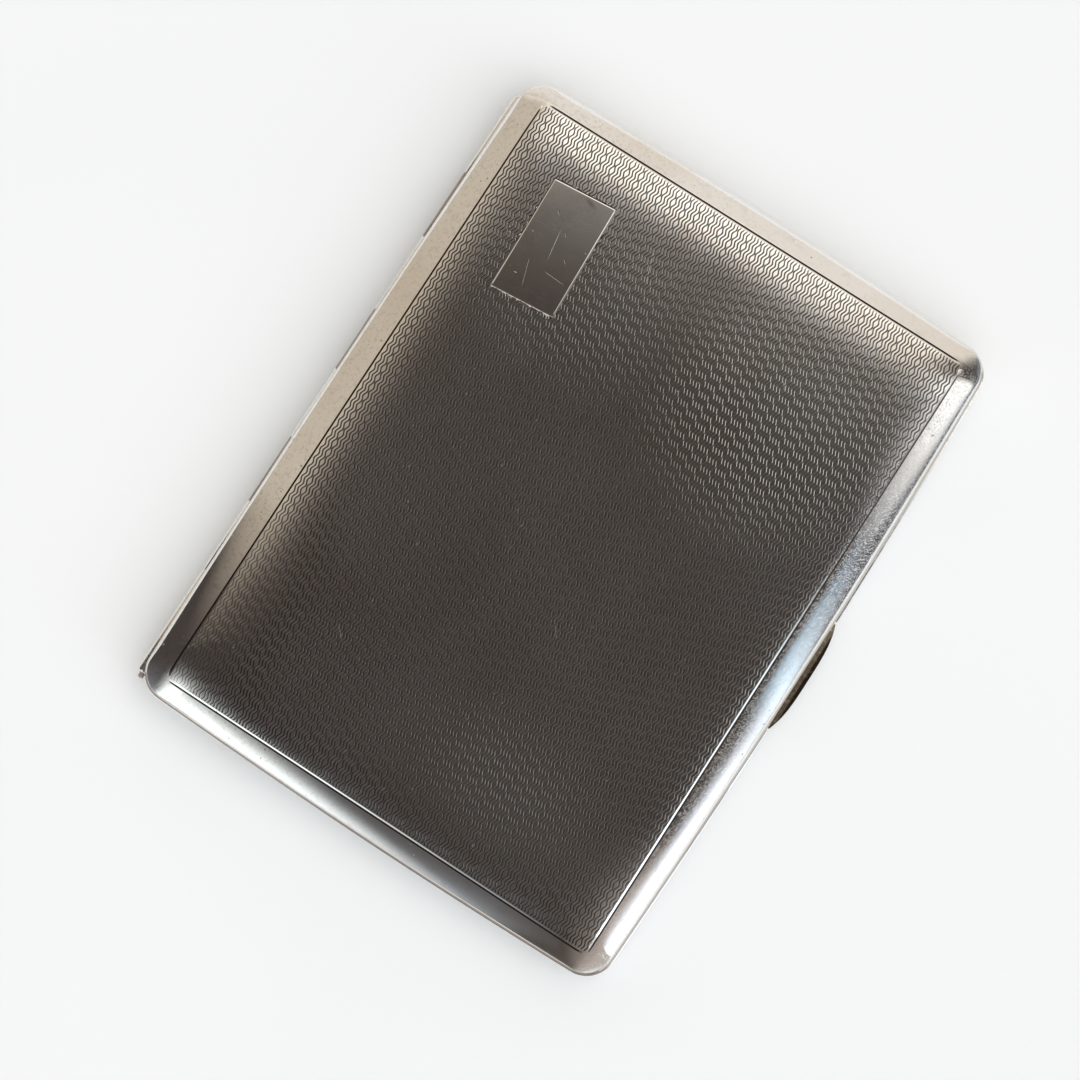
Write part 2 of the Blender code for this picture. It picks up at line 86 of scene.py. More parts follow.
# corners of the cartouche, anticlockwise from its lower hinge side corner
PLATE = ((-28.27, 23.38), (-17.78, 24.26), (-18.59, 42.87), (-28.91, 41.98))
VISIBLE_GAP = 0.05      # half of the gap seen between the halves
BASE_CUT = 2.22         # height of rim cut away beside the hinge, base
LID_CUT = 1.08          # and lid
LID_IN = 0.30           # the lid's edge lies this far in from the base's


def smoothstep(x, lo, hi):
    t = np.clip((x - lo) / (hi - lo), 0.0, 1.0)
    return t * t * (3 - 2 * t)


# ------------------------------------------------------------- case surface
def side_distances(x, y):
    """Distance in from the nearer long side and the nearer short side."""
    ax, ay = np.abs(x), np.abs(y)
    kx = 1.0 - 0.7 * np.clip((HALF_W - ax) / 5.0, 0, 1)
    ky = 1.0 - 0.7 * np.clip((HALF_L - ay) / 5.0, 0, 1)
    bow = np.where(x > 0, BOW_FRONT, BOW_HINGE)
    dx = HALF_W - bow * kx * (ay / (HALF_L - BOW_END)) ** 2 - ax
    dy = HALF_L - BOW_END * ky * (ax / (HALF_W - bow)) ** 2 - ay
    return dx, dy


def inset_of(x, y):
    """Distance in from the outline, with every contour's corners rounded."""
    dx, dy = side_distances(x, y)
    r = CORNER_R
    b = 2 * r - dx - dy
    disc = b * b - 2.0 * ((r - dx) ** 2 + (r - dy) ** 2 - r * r)
    d = (-b + np.sqrt(np.maximum(disc, 0.0))) / 2.0
    return np.where(np.abs(dx - dy) < r, d, np.minimum(dx, dy))


def face_height(x, y):
    """Height of a half's outer face above the seam."""
    u = np.clip(inset_of(x, y) / ROLL, 0.0, 1.0)
    return (SEAM_GAP / 2.0 + RIM_LAND
            + PROFILE_H * np.sqrt(np.maximum(1.0 - (1.0 - u) ** ROLL_POWER, 0.0)))


def lid_height(x, y):
    """The same for the lid, which turns down more sharply at its edge,
    most of all on the three sides away from the thumbpiece."""
    d = inset_of(x, y)
    dx, dy = side_distances(x, y)
    front = smoothstep(dy - dx, -3.0, 3.0) * (np.asarray(x) > 0)
    start, low, join = SEAM_GAP / 2.0 + RIM_LAND, 0.60, 2.0
    both = []
    for tight, high, slope in ((0.54, 1.95, 1.06), (0.50, 1.98, 0.83)):
        end = LID_IN + tight
        u = np.clip((d - LID_IN) / tight, 0.0, 1.0)
        edge = start + low + (high - low) * u ** (slope * tight / (high - low))
        # from there it runs smoothly into the common roll
        k = (1.0 - join / ROLL) ** (ROLL_POWER - 1.0)
        rise = PROFILE_H * math.sqrt(1.0 - k * (1.0 - join / ROLL))
        lean = PROFILE_H ** 2 * ROLL_POWER / ROLL * k / (2.0 * rise)
        t = np.clip((d - end) / (join - end), 0.0, 1.0)
        run = start + ((2 * t ** 3 - 3 * t ** 2 + 1) * high + (t ** 3 - 2 * t ** 2 + t) * (join - end) * slope
                       + (3 * t ** 2 - 2 * t ** 3) * rise + (t ** 3 - t ** 2) * (join - end) * lean)
        both.append(np.where(d < end, edge, run))
    near = front * both[0] + (1.0 - front) * both[1]
    return np.where(d < join, near, face_height(x, y))


def corner(side_x, bow_x, side_y, bow_y, radius):
    """Centre and tangent points of the arc joining two bowed sides."""
    span_y, span_x = side_y - bow_y, side_x - bow_x
    y_t, x_s = span_y - radius, span_x - radius
    for _ in range(40):
        alpha = math.atan(2.0 * bow_x * y_t / span_y ** 2)
        beta = math.atan(2.0 * bow_y * x_s / span_x ** 2)
        cx = side_x - bow_x * (y_t / span_y) ** 2 - radius * math.cos(alpha)
        cy = side_y - bow_y * (x_s / span_x) ** 2 - radius * math.cos(beta)
        y_t, x_s = cy + radius * math.sin(alpha), cx + radius * math.sin(beta)
    return cx, cy, alpha, beta, y_t, x_s


class Outline:
    """A closed plan outline with bowed sides and round corners. A place on it
    is (segment, t): 0 front, 2 top end, 4 hinge side, 6 bottom end, and the
    corners between them are 1, 3, 5 and 7."""

    def __init__(self, front, hinge, end, radius):
        self.front, self.hinge, self.end, self.r = front, hinge, end, radius
        self.cf = corner(front[0], front[1], end[0], end[1], radius)
        self.ch = corner(hinge[0], hinge[1], end[0], end[1], radius)

    def at(self, seg, t):
        flip = 1.0
        if seg in (5, 6, 7):
            seg, t, flip = {5: 3, 6: 2, 7: 1}[seg], 1.0 - t, -1.0
        ex, eb = self.end
        if seg == 0:
            y = (2 * t - 1) * self.cf[4]
            return self.front[0] - self.front[1] * (y / (ex - eb)) ** 2, y
        if seg == 4:
            y = (1 - 2 * t) * self.ch[4]
            return -(self.hinge[0] - self.hinge[1] * (y / (ex - eb)) ** 2), y
        if seg == 2:
            x = self.cf[5] + (-self.ch[5] - self.cf[5]) * t
            side, bow = self.front if x > 0 else self.hinge
            return x, flip * (ex - eb * (x / (side - bow)) ** 2)
        cx, cy, alpha, beta = (self.cf if seg == 1 else self.ch)[:4]
        a = alpha + (math.pi / 2 - alpha - beta) * (t if seg == 1 else 1 - t)
        x, y = cx + self.r * math.cos(a), cy + self.r * math.sin(a)
        return (x if seg == 1 else -x), flip * y


EDGE = Outline((HALF_W, BOW_FRONT), (HALF_W, BOW_HINGE), (HALF_L, BOW_END), CORNER_R)
LID_EDGE = Outline((HALF_W - LID_IN, BOW_FRONT), (HALF_W - LID_IN, BOW_HINGE),
                   (HALF_L - LID_IN, BOW_END), CORNER_R)


def rectangle(grow, radius):
    return Outline((FIELD_X + grow, 0.0), (FIELD_X + grow, 0.0),
                   (FIELD_Y + grow, 0.0), radius)


def hinge_corner_t(rim, y):
    """t on the hinge side's corner where the outline has this y."""
    _, cy, alpha, beta = rim.ch[:4]
    a = math.asin((y - cy) / CORNER_R)
    return 1.0 - (a - alpha) / (math.pi / 2 - alpha - beta)


def perimeter(rim, slot_y, lift, relief_y=53.9):
    """Places round the case, anticlockwise from the front side's lower end,
    with a flag: how high above the seam the wall starts there."""
    n_long, n_end, n_corner = 84, 60, 16
    places = []

    def run(seg, ts, cut=lambda t: 0.0):
        for t in ts:
            places.append((seg, t, cut(t)))

    front_y = rim.cf[4]
    if slot_y:
        lo, hi = (-slot_y / front_y + 1) / 2, (slot_y / front_y + 1) / 2
        eps = 0.02 / (2 * front_y)
        a = [t for t in np.linspace(0, 1, n_long, endpoint=False) if t < lo - 0.003]
        b = [t for t in np.linspace(0, 1, n_long, endpoint=False) if lo + 0.003 < t < hi - 0.003]
        c = [t for t in np.linspace(0, 1, n_long, endpoint=False) if t > hi + 0.003]
        run(0, a)
        places.append((0, lo - eps, 0.0))
        places.append((0, lo + eps, 1.5))
        run(0, b, lambda t: 1.5)
        places.append((0, hi - eps, 1.5))
        places.append((0, hi + eps, 0.0))
        run(0, c)
    else:
        run(0, np.linspace(0, 1, n_long, endpoint=False))
    run(1, np.linspace(0, 1, n_corner, endpoint=False))
    run(2, np.linspace(0, 1, n_end, endpoint=False))
    tc = hinge_corner_t(rim, relief_y)
    eps = 0.002
    ts = np.linspace(0, 1, n_corner, endpoint=False)
    run(3, [t for t in ts if t < tc - 0.01])
    places.append((3, tc - eps, 0.0))
    places.append((3, tc + eps, lift))
    run(3, [t for t in ts if t > tc + 0.01], lambda t: lift)
    run(4, np.linspace(0, 1, n_long, endpoint=False), lambda t: lift)
    run(5, [t for t in ts if t < 1 - tc - 0.01], lambda t: lift)
    places.append((5, 1 - tc - eps, lift))
    places.append((5, 1 - tc + eps, 0.0))
    run(5, [t for t in ts if t > 1 - tc + 0.01])
    run(6, np.linspace(0, 1, n_end, endpoint=False))
    run(7, np.linspace(0, 1, n_corner, endpoint=False))
    return places


# ------------------------------------------------------------- mesh building
class Build:
    """Collects vertices, faces and per-vertex values, then writes one mesh."""

    def __init__(self):
        self.verts, self.count = [], 0
        self.faces = []          # (array of corner indices, material)
        self.values = {}

    def add(self, points, **values):
        points = np.asarray(points, float).reshape(-1, 3)
        first = self.count
        self.verts.append(points)
        self.count += len(points)
        for key in set(self.values) | set(values):
            got = values.get(key, 0.0)
            block = np.broadcast_to(np.asarray(got, float).ravel(), (len(points),)) \
                if np.ndim(got) == 0 or np.size(got) == 1 else np.asarray(got, float).ravel()
            if key not in self.values:
                self.values[key] = [np.zeros(first)] if first else []
            self.values[key].append(np.array(block))
        return np.arange(first, first + len(points))

    def poly(self, faces, mat=0):
        faces = np.asarray(faces, np.int64)
        if len(faces):
            self.faces.append((faces.reshape(-1, faces.shape[-1]), mat))

    def band(self, low, high, mat=0, closed=True, flip=False):
        """Quads between two loops with the same number of vertices."""
        low, high = np.asarray(low), np.asarray(high)
        if closed:
            a, b, c, d = low, np.roll(low, -1), np.roll(high, -1), high
        else:
            a, b, c, d = low[:-1], low[1:], high[1:], high[:-1]
        quads = np.stack([a, b, c, d], 1)
        self.poly(quads[:, ::-1] if flip else quads, mat)

    def zipper(self, loop_a, key_a, loop_b, key_b, mat=0, flip=False):
        """Triangles between two closed loops, matched by a rising key."""
        order_a, order_b = np.argsort(key_a, kind="stable"), np.argsort(key_b, kind="stable")
        la, ka = np.asarray(loop_a)[order_a], np.asarray(key_a)[order_a]
        lb, kb = np.asarray(loop_b)[order_b], np.asarray(key_b)[order_b]
        i = j = 0
        tris = []
        na, nb = len(la), len(lb)
        total = max(ka[-1], kb[-1]) + 1.0

        def key(k, n, idx):
            return k[idx % n] + (total * (idx // n))
        while i < na or j < nb:
            next_a, next_b = key(ka, na, i + 1), key(kb, nb, j + 1)
            if j >= nb or (i < na and next_a <= next_b):
                tris.append((la[i % na], la[(i + 1) % na], lb[j % nb]))
                i += 1
            else:
                tris.append((la[i % na], lb[(j + 1) % nb], lb[j % nb]))
                j += 1
        tris = np.array(tris)
        self.poly(tris[:, ::-1] if flip else tris, mat)

    def mesh(self, name, smooth=30.0, flip=False):
        """Vertices sharing a "crease" number above 0 are joined by sharp edges."""
        verts = np.concatenate(self.verts) * MM
        crease = self.values.pop("crease", None)
        mesh = bpy.data.meshes.new(name)
        loops, starts, totals, mats = [], [], [], []
        at = 0
        for faces, mat in self.faces:
            f = faces[:, ::-1] if flip else faces
            n, k = f.shape
            loops.append(f.ravel())
            starts.append(at + np.arange(n) * k)
            totals.append(np.full(n, k))
            mats.append(np.full(n, mat))
            at += n * k
        loops, starts = np.concatenate(loops), np.concatenate(starts)
        totals, mats = np.concatenate(totals), np.concatenate(mats)
        mesh.vertices.add(len(verts))
        mesh.vertices.foreach_set("co", verts.astype(np.float32).ravel())
        mesh.loops.add(len(loops))
        mesh.loops.foreach_set("vertex_index", loops.astype(np.int32))
        mesh.polygons.add(len(starts))
        mesh.polygons.foreach_set("loop_start", starts.astype(np.int32))
        mesh.polygons.foreach_set("loop_total", totals.astype(np.int32))
        mesh.polygons.foreach_set("material_index", mats.astype(np.int32))
        mesh.update(calc_edges=True)
        mesh.validate(clean_customdata=False)
        for key, blocks in self.values.items():
            value = np.concatenate(blocks)
            value = np.concatenate([value, np.zeros(len(verts) - len(value))])
            attribute = mesh.attributes.new(key, "FLOAT", "POINT")
            attribute.data.foreach_set("value", value.astype(np.float32))
        mesh.shade_smooth()
        if smooth:
            mesh.set_sharp_from_angle(angle=math.radians(smooth))
        if crease is not None:
            ids = np.concatenate(crease)
            ids = np.concatenate([ids, np.zeros(len(verts) - len(ids))])
            pairs = np.empty(2 * len(mesh.edges), np.int32)
            mesh.edges.foreach_get("vertices", pairs)
            ends = ids[pairs.reshape(-1, 2)]
            hard = (ends[:, 0] > 0) & (ends[:, 0] == ends[:, 1])
            attribute = mesh.attributes.get("sharp_edge") or \
                mesh.attributes.new("sharp_edge", "BOOLEAN", "EDGE")
            now = np.zeros(len(mesh.edges), bool)
            attribute.data.foreach_get("value", now)
            attribute.data.foreach_set("value", now | hard)
            mesh.update()
        return mesh


def new_object(name, mesh, mats, body, nodes=()):
    obj = bpy.data.objects.new(name, mesh)
    bpy.context.scene.collection.objects.link(obj)
    for mat in mats:
        mesh.materials.append(mat)
    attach(obj, body)
    if nodes:
        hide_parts(*nodes)
    return obj


# -------------------------------------------------------------------- shells
def rect_key(x, y):
    """Place along the engraved rectangle's border, rising anticlockwise from
    the lower end of the front side."""
    x, y = np.asarray(x, float), np.asarray(y, float)
    a, b = FIELD_X, FIELD_Y
    # the border is nearest on the side whose scaled distance is least
    gaps = np.stack([a - x, b - y, a + x, b + y], 0)
    side = np.argmin(gaps, 0)
    along = np.select([side == 0, side == 1, side == 2, side == 3],
                      [y + b, 2 * b + (a - x), 2 * b + 2 * a + (b - y),
                       4 * b + 2 * a + (x + a)])
    return along


def wave_at(y):
    phase = 2 * math.pi * y / WAVE
    return np.sin(phase)


def on_plate(s, t):
    """A point of the cartouche from its fractions across and up."""
    s, t = np.asarray(s, float)[..., None], np.asarray(t, float)[..., None]
    bl, br, tr, tl = (np.array(p) for p in PLATE)
    return (1 - s) * (1 - t) * bl + s * (1 - t) * br + s * t * tr + (1 - s) * t * tl


def outside_plate(x, y):
    """How far a point lies outside the cartouche; below 0 inside it."""
    far = np.full(np.shape(x), -1e9)
    for (ax, ay), (bx, by) in zip(PLATE, PLATE[1:] + PLATE[:1]):
        length = math.hypot(bx - ax, by - ay)
        far = np.maximum(far, ((by - ay) * (x - ax) - (bx - ax) * (y - ay)) / length)
    return far


def plate_hole(ids, out):
    """Which cells of the grid stay, and the loop round the ones that don't."""
    near = out < 0.04
    bad = near[:-1, :-1] | near[:-1, 1:] | near[1:, 1:] | near[1:, :-1]
    rows = np.flatnonzero(bad.any(1))
    first = {r: int(np.flatnonzero(bad[r])[0]) for r in rows}
    last = {r: int(np.flatnonzero(bad[r])[-1]) + 1 for r in rows}
    keep = np.ones(bad.shape, bool)
    for r in rows:
        keep[r, first[r]:last[r]] = False
    low, top = int(rows[0]), int(rows[-1])

    def step(row, a, b):
        way = 1 if b > a else -1
        return [(row, c) for c in range(a + way, b + way, way)] if a != b else []

    loop = [(low, c) for c in range(first[low], last[low] + 1)]
    for r in range(low, top + 1):
        loop.append((r + 1, last[r]))
        if r < top:
            loop += step(r + 1, last[r], last[r + 1])
    loop += step(top + 1, last[top], first[top])
    for r in range(top, low, -1):
        loop.append((r, first[r]))
        loop += step(r, first[r], first[r - 1])
    return keep, np.array([ids[r, c] for r, c in loop])


def engraved_field(build, sign, plate):
    """The engine-turned rectangle. Returns its border loop and its key."""
    line = np.arange(LINES)
    centre = -FIELD_X + PITCH * (line + 0.5)
    phase = np.where(((line + 1) // 4) % 2 == 0, 1.0, -1.0)
    cols, swing, depth = [], [], []
    for i in range(LINES):
        before = phase[i - 1] if i else phase[i]
        cols += [centre[i] - PITCH / 2, centre[i] - CUT_HALF, centre[i], centre[i] + CUT_HALF]
        edge = 0.0 if i == 0 else (before + phase[i]) / 2.0
        swing += [edge, phase[i], phase[i], phase[i]]
        depth += [0.0, 0.0, 1.0, 0.0]
    cols.append(FIELD_X)
    swing.append(0.0)
    depth.append(0.0)
    cols, swing, depth = map(np.array, (cols, swing, depth))
    rows = -FIELD_Y + ROW * np.arange(ROWS + 1)
    x, y = np.meshgrid(cols, rows)
    mask = np.ones_like(x)
    # the lines start faint at the short sides
    fade = 0.30 + 0.70 * smoothstep(FIELD_Y - np.abs(y), 0.3, 3.2)
    edge_fade = smoothstep(FIELD_Y - np.abs(y), -0.01, 0.05)
    wear_and_glint = 1.0 - 0.22 * (0.5 + 0.5 * np.sin(0.11 * x + 0.7 * np.sin(0.09 * y)) *
                         np.sin(0.083 * y + 0.9 * np.sin(0.07 * x)))
    if plate:
        # rubbed almost smooth towards the hinge's lower corner
        rub = smoothstep(1.25 - np.hypot((x + 35.0) / 12.0, (y + 36.0) / 30.0), 0.0, 0.9)
        wear_and_glint = wear_and_glint * (1.0 - 0.80 * rub)
    else:
        rub = np.zeros_like(x)
    gx = x + swing[None, :] * SWING * wave_at(y) * mask * edge_fade
    cut = depth[None, :] * mask * fade * wear_and_glint * edge_fade
    z = face_height(gx, y) - CUT_DEPTH * cut
    groove = depth[None, :] * mask * edge_fade * fade ** 0.5 * (1.0 - 0.86 * rub)
    crease = np.where(np.arange(len(cols)) % 4 > 0, np.arange(len(cols)), 0) * np.ones_like(x)
    crease[:, 0] = crease[:, -1] = 90001
    crease[0], crease[-1] = 90001, 90001
    lean = swing[None, :] * np.cos(2 * math.pi * y / WAVE)
    flank = np.append(np.tile([0.0, -1.0, 0.0, 1.0], LINES), 0.0) * np.ones_like(x)
    ids = build.add(np.stack([gx + SHIFT_X, y, SEAM + sign * z], -1), groove=groove, lean=lean, flank=flank,
                    field=np.where(mask > 0.5, 1.0, 0.0), crease=crease).reshape(x.shape)
    quads = np.stack([ids[:-1, :-1], ids[:-1, 1:], ids[1:, 1:], ids[1:, :-1]], -1)
    if plate:
        keep, hole = plate_hole(ids, outside_plate(gx, y))
        build.poly(quads[keep])
        cartouche(build, sign, hole)
    else:
        build.poly(quads.reshape(-1, 4))
    ring = np.concatenate([ids[:-1, -1], ids[-1, :0:-1], ids[:0:-1, 0], ids[0, :-1]])
    pts = np.concatenate(build.verts)[ring]
    return ring, rect_key(pts[:, 0] - SHIFT_X, pts[:, 1])


def cartouche(build, sign, hole):
    """The bare polished plate inside its engraved outline."""
    n_x, n_y = 28, 52
    wide = math.dist(PLATE[0], PLATE[1])
    high = math.dist(PLATE[1], PLATE[2])
    s, t = np.linspace(0, 1, n_x + 1), np.linspace(0, 1, n_y + 1)
    around_s = np.concatenate([s[:-1], np.ones(n_y), s[:0:-1], np.zeros(n_y)])
    around_t = np.concatenate([np.zeros(n_x), t[:-1], np.ones(n_x), t[:0:-1]])
    # the line holds dirt, with painted shade making it darkest at the top and the hinge side
    dirt_and_shade = np.concatenate([np.full(n_x + n_y, 0.35), np.full(n_x, 1.0), np.linspace(1.0, 0.3, n_y)])

    def spot_at(inset, fs, ft):
        a, b = inset / wide, inset / high
        return on_plate(a + (1 - 2 * a) * fs, b + (1 - 2 * b) * ft)

    def loop(inset, drop, line, crease):
        p = spot_at(inset, around_s, around_t)
        z = face_height(p[:, 0], p[:, 1]) - drop
        return build.add(np.stack([p[:, 0] + SHIFT_X, p[:, 1], SEAM + sign * z], 1),
                         line=line * dirt_and_shade, plate=1.0, crease=crease)

    loops = [loop(*row) for row in ((0.0, 0.0, 0.0, 0.0), (0.03, 0.005, 1.0, 90011.0),
                                    (0.10, 0.055, 1.0, 90012.0), (0.12, 0.055, 0.0, 0.0),
                                    (0.26, 0.0, 0.0, 90013.0))]
    allv = np.concatenate(build.verts)
    mid = np.mean(PLATE, 0)
    begin = math.atan2(PLATE[0][1] - mid[1], PLATE[0][0] - mid[0])

    def turn(ids):
        """The loop started at the lower hinge side corner, with its angles."""
        angle = np.arctan2(allv[ids, 1] - mid[1], allv[ids, 0] - SHIFT_X - mid[0]) - begin
        angle = np.mod(angle, 2 * math.pi)
        jump = int(np.argmin(np.diff(np.concatenate([angle, angle[:1]])))) + 1
        ids, angle = np.roll(ids, -jump), np.roll(angle, -jump)
        return ids, np.maximum.accumulate(angle)

    build.zipper(*turn(hole), *turn(loops[0]))
    for low, up in zip(loops, loops[1:]):
        build.band(low, up)
    gs, gt = np.meshgrid(s[1:-1], t[1:-1])
    p = spot_at(0.26, gs, gt)
    z = face_height(p[..., 0], p[..., 1])
    inner = build.add(np.stack([p[..., 0] + SHIFT_X, p[..., 1], SEAM + sign * z], -1),
                      plate=1.0).reshape(gs.shape)
    ids = np.full((n_y + 1, n_x + 1), -1)
    last = loops[-1]
    ids[0, :] = np.r_[last[:n_x], last[n_x]]
    ids[:, -1] = np.r_[last[n_x:n_x + n_y], last[n_x + n_y]]
    ids[-1, ::-1] = np.r_[last[n_x + n_y:2 * n_x + n_y], last[2 * n_x + n_y]]
    ids[::-1, 0] = np.r_[last[2 * n_x + n_y:], last[0]]
    ids[1:-1, 1:-1] = inner
    quads = np.stack([ids[:-1, :-1], ids[:-1, 1:], ids[1:, 1:], ids[1:, :-1]], -1)
    build.poly(quads.reshape(-1, 4))


def shell(name, up, slot_y, plate):
    """One half: rolled border, engraved face and gilt inside, as one sheet."""
    sign = 1.0 if up else -1.0
    build = Build()
    rim, height = (LID_EDGE, lid_height) if up else (EDGE, face_height)
    places = perimeter(rim, slot_y, LID_CUT if up else BASE_CUT)
    outer = np.array([rim.at(s, t) for s, t, _ in places])
    lip = rectangle(LINE_OUT, 0.78)
    inner = np.array([lip.at(s, t) for s, t, _ in places])
    start = np.array([c for _, _, c in places])
    count = len(places)

    # fine profile of every column, from the rim to the border line
    f = np.concatenate([np.zeros(5), np.linspace(0, 1, 150)[1:] ** 2.2])
    px = outer[:, None, 0] + (inner[:, None, 0] - outer[:, None, 0]) * f
    py = outer[:, None, 1] + (inner[:, None, 1] - outer[:, None, 1]) * f
    pz = height(px, py)
    low = VISIBLE_GAP
    if up:
        pz[:, :5] = np.array([low, low + 0.02, low + 0.06, low + 0.14, SEAM_GAP / 2 + RIM_LAND])
    else:
        pz[:, :5] = np.array([low, low + 0.005, low + 0.03, low + 0.11, SEAM_GAP / 2 + RIM_LAND])
    reach = np.hypot(inner[:, 0] - outer[:, 0], inner[:, 1] - outer[:, 1])
    way = (inner - outer) / reach[:, None]
    r = f[None, :] * reach[:, None]
    r[:, :5] = np.array([0.07, 0.03, 0.01, 0.0, 0.0] if up else [0.32, 0.18, 0.08, 0.02, 0.0])
    levels = 30
    weight = np.linspace(0, 1, levels) ** 1.12
    ring_r, ring_z = np.empty((count, levels)), np.empty((count, levels))
    for i in range(count):
        arc = np.concatenate([[0], np.cumsum(np.hypot(np.diff(r[i]), np.diff(pz[i])))])
        begin = 0.0 if start[i] == 0 else np.interp(start[i], pz[i], arc)
        s = begin + (arc[-1] - begin) * weight
        ring_r[i], ring_z[i] = np.interp(s, arc, r[i]), np.interp(s, arc, pz[i])
    dr, dz = np.gradient(ring_r, axis=1), np.gradient(ring_z, axis=1)
    norm = np.hypot(dr, dz)
    dr, dz = dr / norm, dz / norm

    def place(rad, z):
        return np.stack([outer[:, 0] + way[:, 0] * rad + SHIFT_X,
                         outer[:, 1] + way[:, 1] * rad, SEAM + sign * z], 1)

    # painted shade in the seam and on the lid's turned-down edge, least at the top end
    if up:
        seam_shade = np.select([outer[:, 1] < -HALF_L + 3.0, outer[:, 1] > HALF_L - 3.0, outer[:, 0] > 0],
                          [1.0, 0.15, 0.65], 0.3)[:, None] * smoothstep(ring_r, 0.42, 0.24)
    else:
        seam_shade = np.zeros(ring_r.shape)
        seam_shade[:, 0] = 1.0
    roll = [build.add(place(ring_r[:, k], ring_z[:, k]), edge=1.0 - k / (levels - 1.0),
                      soil=seam_shade[:, k],
                      crease=90002.0 if k == levels - 1 else 0.0) for k in range(levels)]
    for a, b in zip(roll, roll[1:]):
        build.band(a, b)
    # border line: a steep outer wall, dark with dirt and with painted shade, least on
    # the thumbpiece side, and a bright sloping inner one, fading out in the corners
    trench = roll[-1]
    for grow, radius, drop, line, crease in ((LINE_OUT - 0.03, 0.76, 0.05, 1.0, 0.0),
                                             (LINE_MID, 0.64, 1.0, 1.0, 90003.0),
                                             (LINE_MID - 0.03, 0.62, 1.0, 0.0, 90004.0)):
        ring = rectangle(grow, radius)
        valley = np.array([ring.at(s, t) for s, t, _ in places])
        to_corner = np.hypot(np.maximum(FIELD_X - np.abs(valley[:, 0]), 0),
                             np.maximum(FIELD_Y - np.abs(valley[:, 1]), 0))
        fade = smoothstep(to_corner, 0.2, 1.6)
        # painted shade: the line is less dark on the thumbpiece side
        strong = np.select([valley[:, 1] > FIELD_Y, valley[:, 1] < -FIELD_Y, valley[:, 0] > 0],
                           [1.0, 0.9, 0.5], 0.9)
        vz = height(valley[:, 0], valley[:, 1]) - LINE_DEPTH * drop * fade
        lower = build.add(np.stack([valley[:, 0] + SHIFT_X, valley[:, 1], SEAM + sign * vz], 1),
                          line=line * fade * strong, crease=crease)
        build.band(trench, lower)
        trench = lower
    field, field_key = engraved_field(build, sign, plate)
    seg_key = rect_key(np.clip(valley[:, 0], -FIELD_X, FIELD_X) + 0.2 * (valley[:, 0] - np.clip(valley[:, 0], -FIELD_X, FIELD_X)),
                       np.clip(valley[:, 1], -FIELD_Y, FIELD_Y) + 0.2 * (valley[:, 1] - np.clip(valley[:, 1], -FIELD_Y, FIELD_Y)))
    build.zipper(trench, seg_key, field, field_key)

    # the inside, one sheet's thickness in
    # the lid's edge is thinner where it comes down over the hinge
    t = SHEET
    thin = np.full(ring_r.shape, t)
    if up:
        thin = np.where(start[:, None] > 0, 0.28 + (t - 0.28) * smoothstep(ring_z, 2.1, 3.1), t)
    inside = [build.add(place(ring_r[:, k] + thin[:, k] * dz[:, k],
                              ring_z[:, k] - thin[:, k] * dr[:, k]),
                        inside=1.0) for k in range(levels)]
    build.band(roll[0], inside[0], mat=0, flip=True)
    for a, b in zip(inside, inside[1:]):
        build.band(a, b, mat=1, flip=True)
    mid = inner.copy()
    target = np.stack([np.clip(mid[:, 0], -26.0, 26.0), np.clip(mid[:, 1], -40.0, 40.0)], 1)
    last = inside[-1]
    last_xy = np.concatenate(build.verts)[last][:, :2] - np.array([SHIFT_X, 0.0])
    for g in np.linspace(0, 1, 9)[1:]:
        xy = last_xy + (target - last_xy) * g
        z = face_height(xy[:, 0], xy[:, 1]) - t * (1.0 + 0.02 * (1 - g))
        ids = build.add(np.stack([xy[:, 0] + SHIFT_X, xy[:, 1], SEAM + sign * z], 1), inside=1.0)
        build.band(last, ids, mat=1, flip=True)
        last = ids
    # flat middle of the inside
    keep = [0]
    pts = np.concatenate(build.verts)
    for k in range(1, count):
        if np.hypot(*(pts[last[k]][:2] - pts[last[keep[-1]]][:2])) > 1e-4:
            keep.append(k)
    build.poly(np.array([last[keep][::-1]]), mat=1)
    return build.mesh(name, smooth=32.0, flip=not up)


# ----------------------------------------------------------- other metalwork
def lathe(name, profile, origin, axis, segments=40, sharp=35.0):
    """A closed turned solid: profile of (radius, distance along the axis)."""
    build = Build()
    prof = np.array(profile, float)
    a = np.linspace(0, 2 * math.pi, segments, endpoint=False)
    u, v = {"Y": ((1, 0, 0), (0, 0, 1)), "X": ((0, 1, 0), (0, 0, 1))}[axis]
    w = {"Y": (0, 1, 0), "X": (1, 0, 0)}[axis]
    u, v, w = map(np.array, (u, v, w))
    loops = []
    for rad, along in prof:
        pts = (np.array(origin)[None] + np.outer(np.cos(a) * rad, u)
               + np.outer(np.sin(a) * rad, v) + along * w[None])
        loops.append(build.add(pts))
    closed = abs(prof[0][0] - prof[-1][0]) < 1e-9 and abs(prof[0][1] - prof[-1][1]) < 1e-9
    if closed:
        loops = loops[:-1] + [loops[0]]
    for low, high in zip(loops, loops[1:]):
        build.band(low, high)
    if not closed:
        build.poly(np.array([loops[0][::-1]]))
        build.poly(np.array([loops[-1]]))
    mesh = build.mesh(name, smooth=sharp)
    return fix_normals(mesh)


def fix_normals(mesh):
    import bmesh
    bm = bmesh.new()
    bm.from_mesh(mesh)
    loose = [v for v in bm.verts if not v.link_faces]
    bmesh.ops.delete(bm, geom=loose, context="VERTS")
    bmesh.ops.recalc_face_normals(bm, faces=bm.faces)
    bm.to_mesh(mesh)
    bm.free()
    return mesh


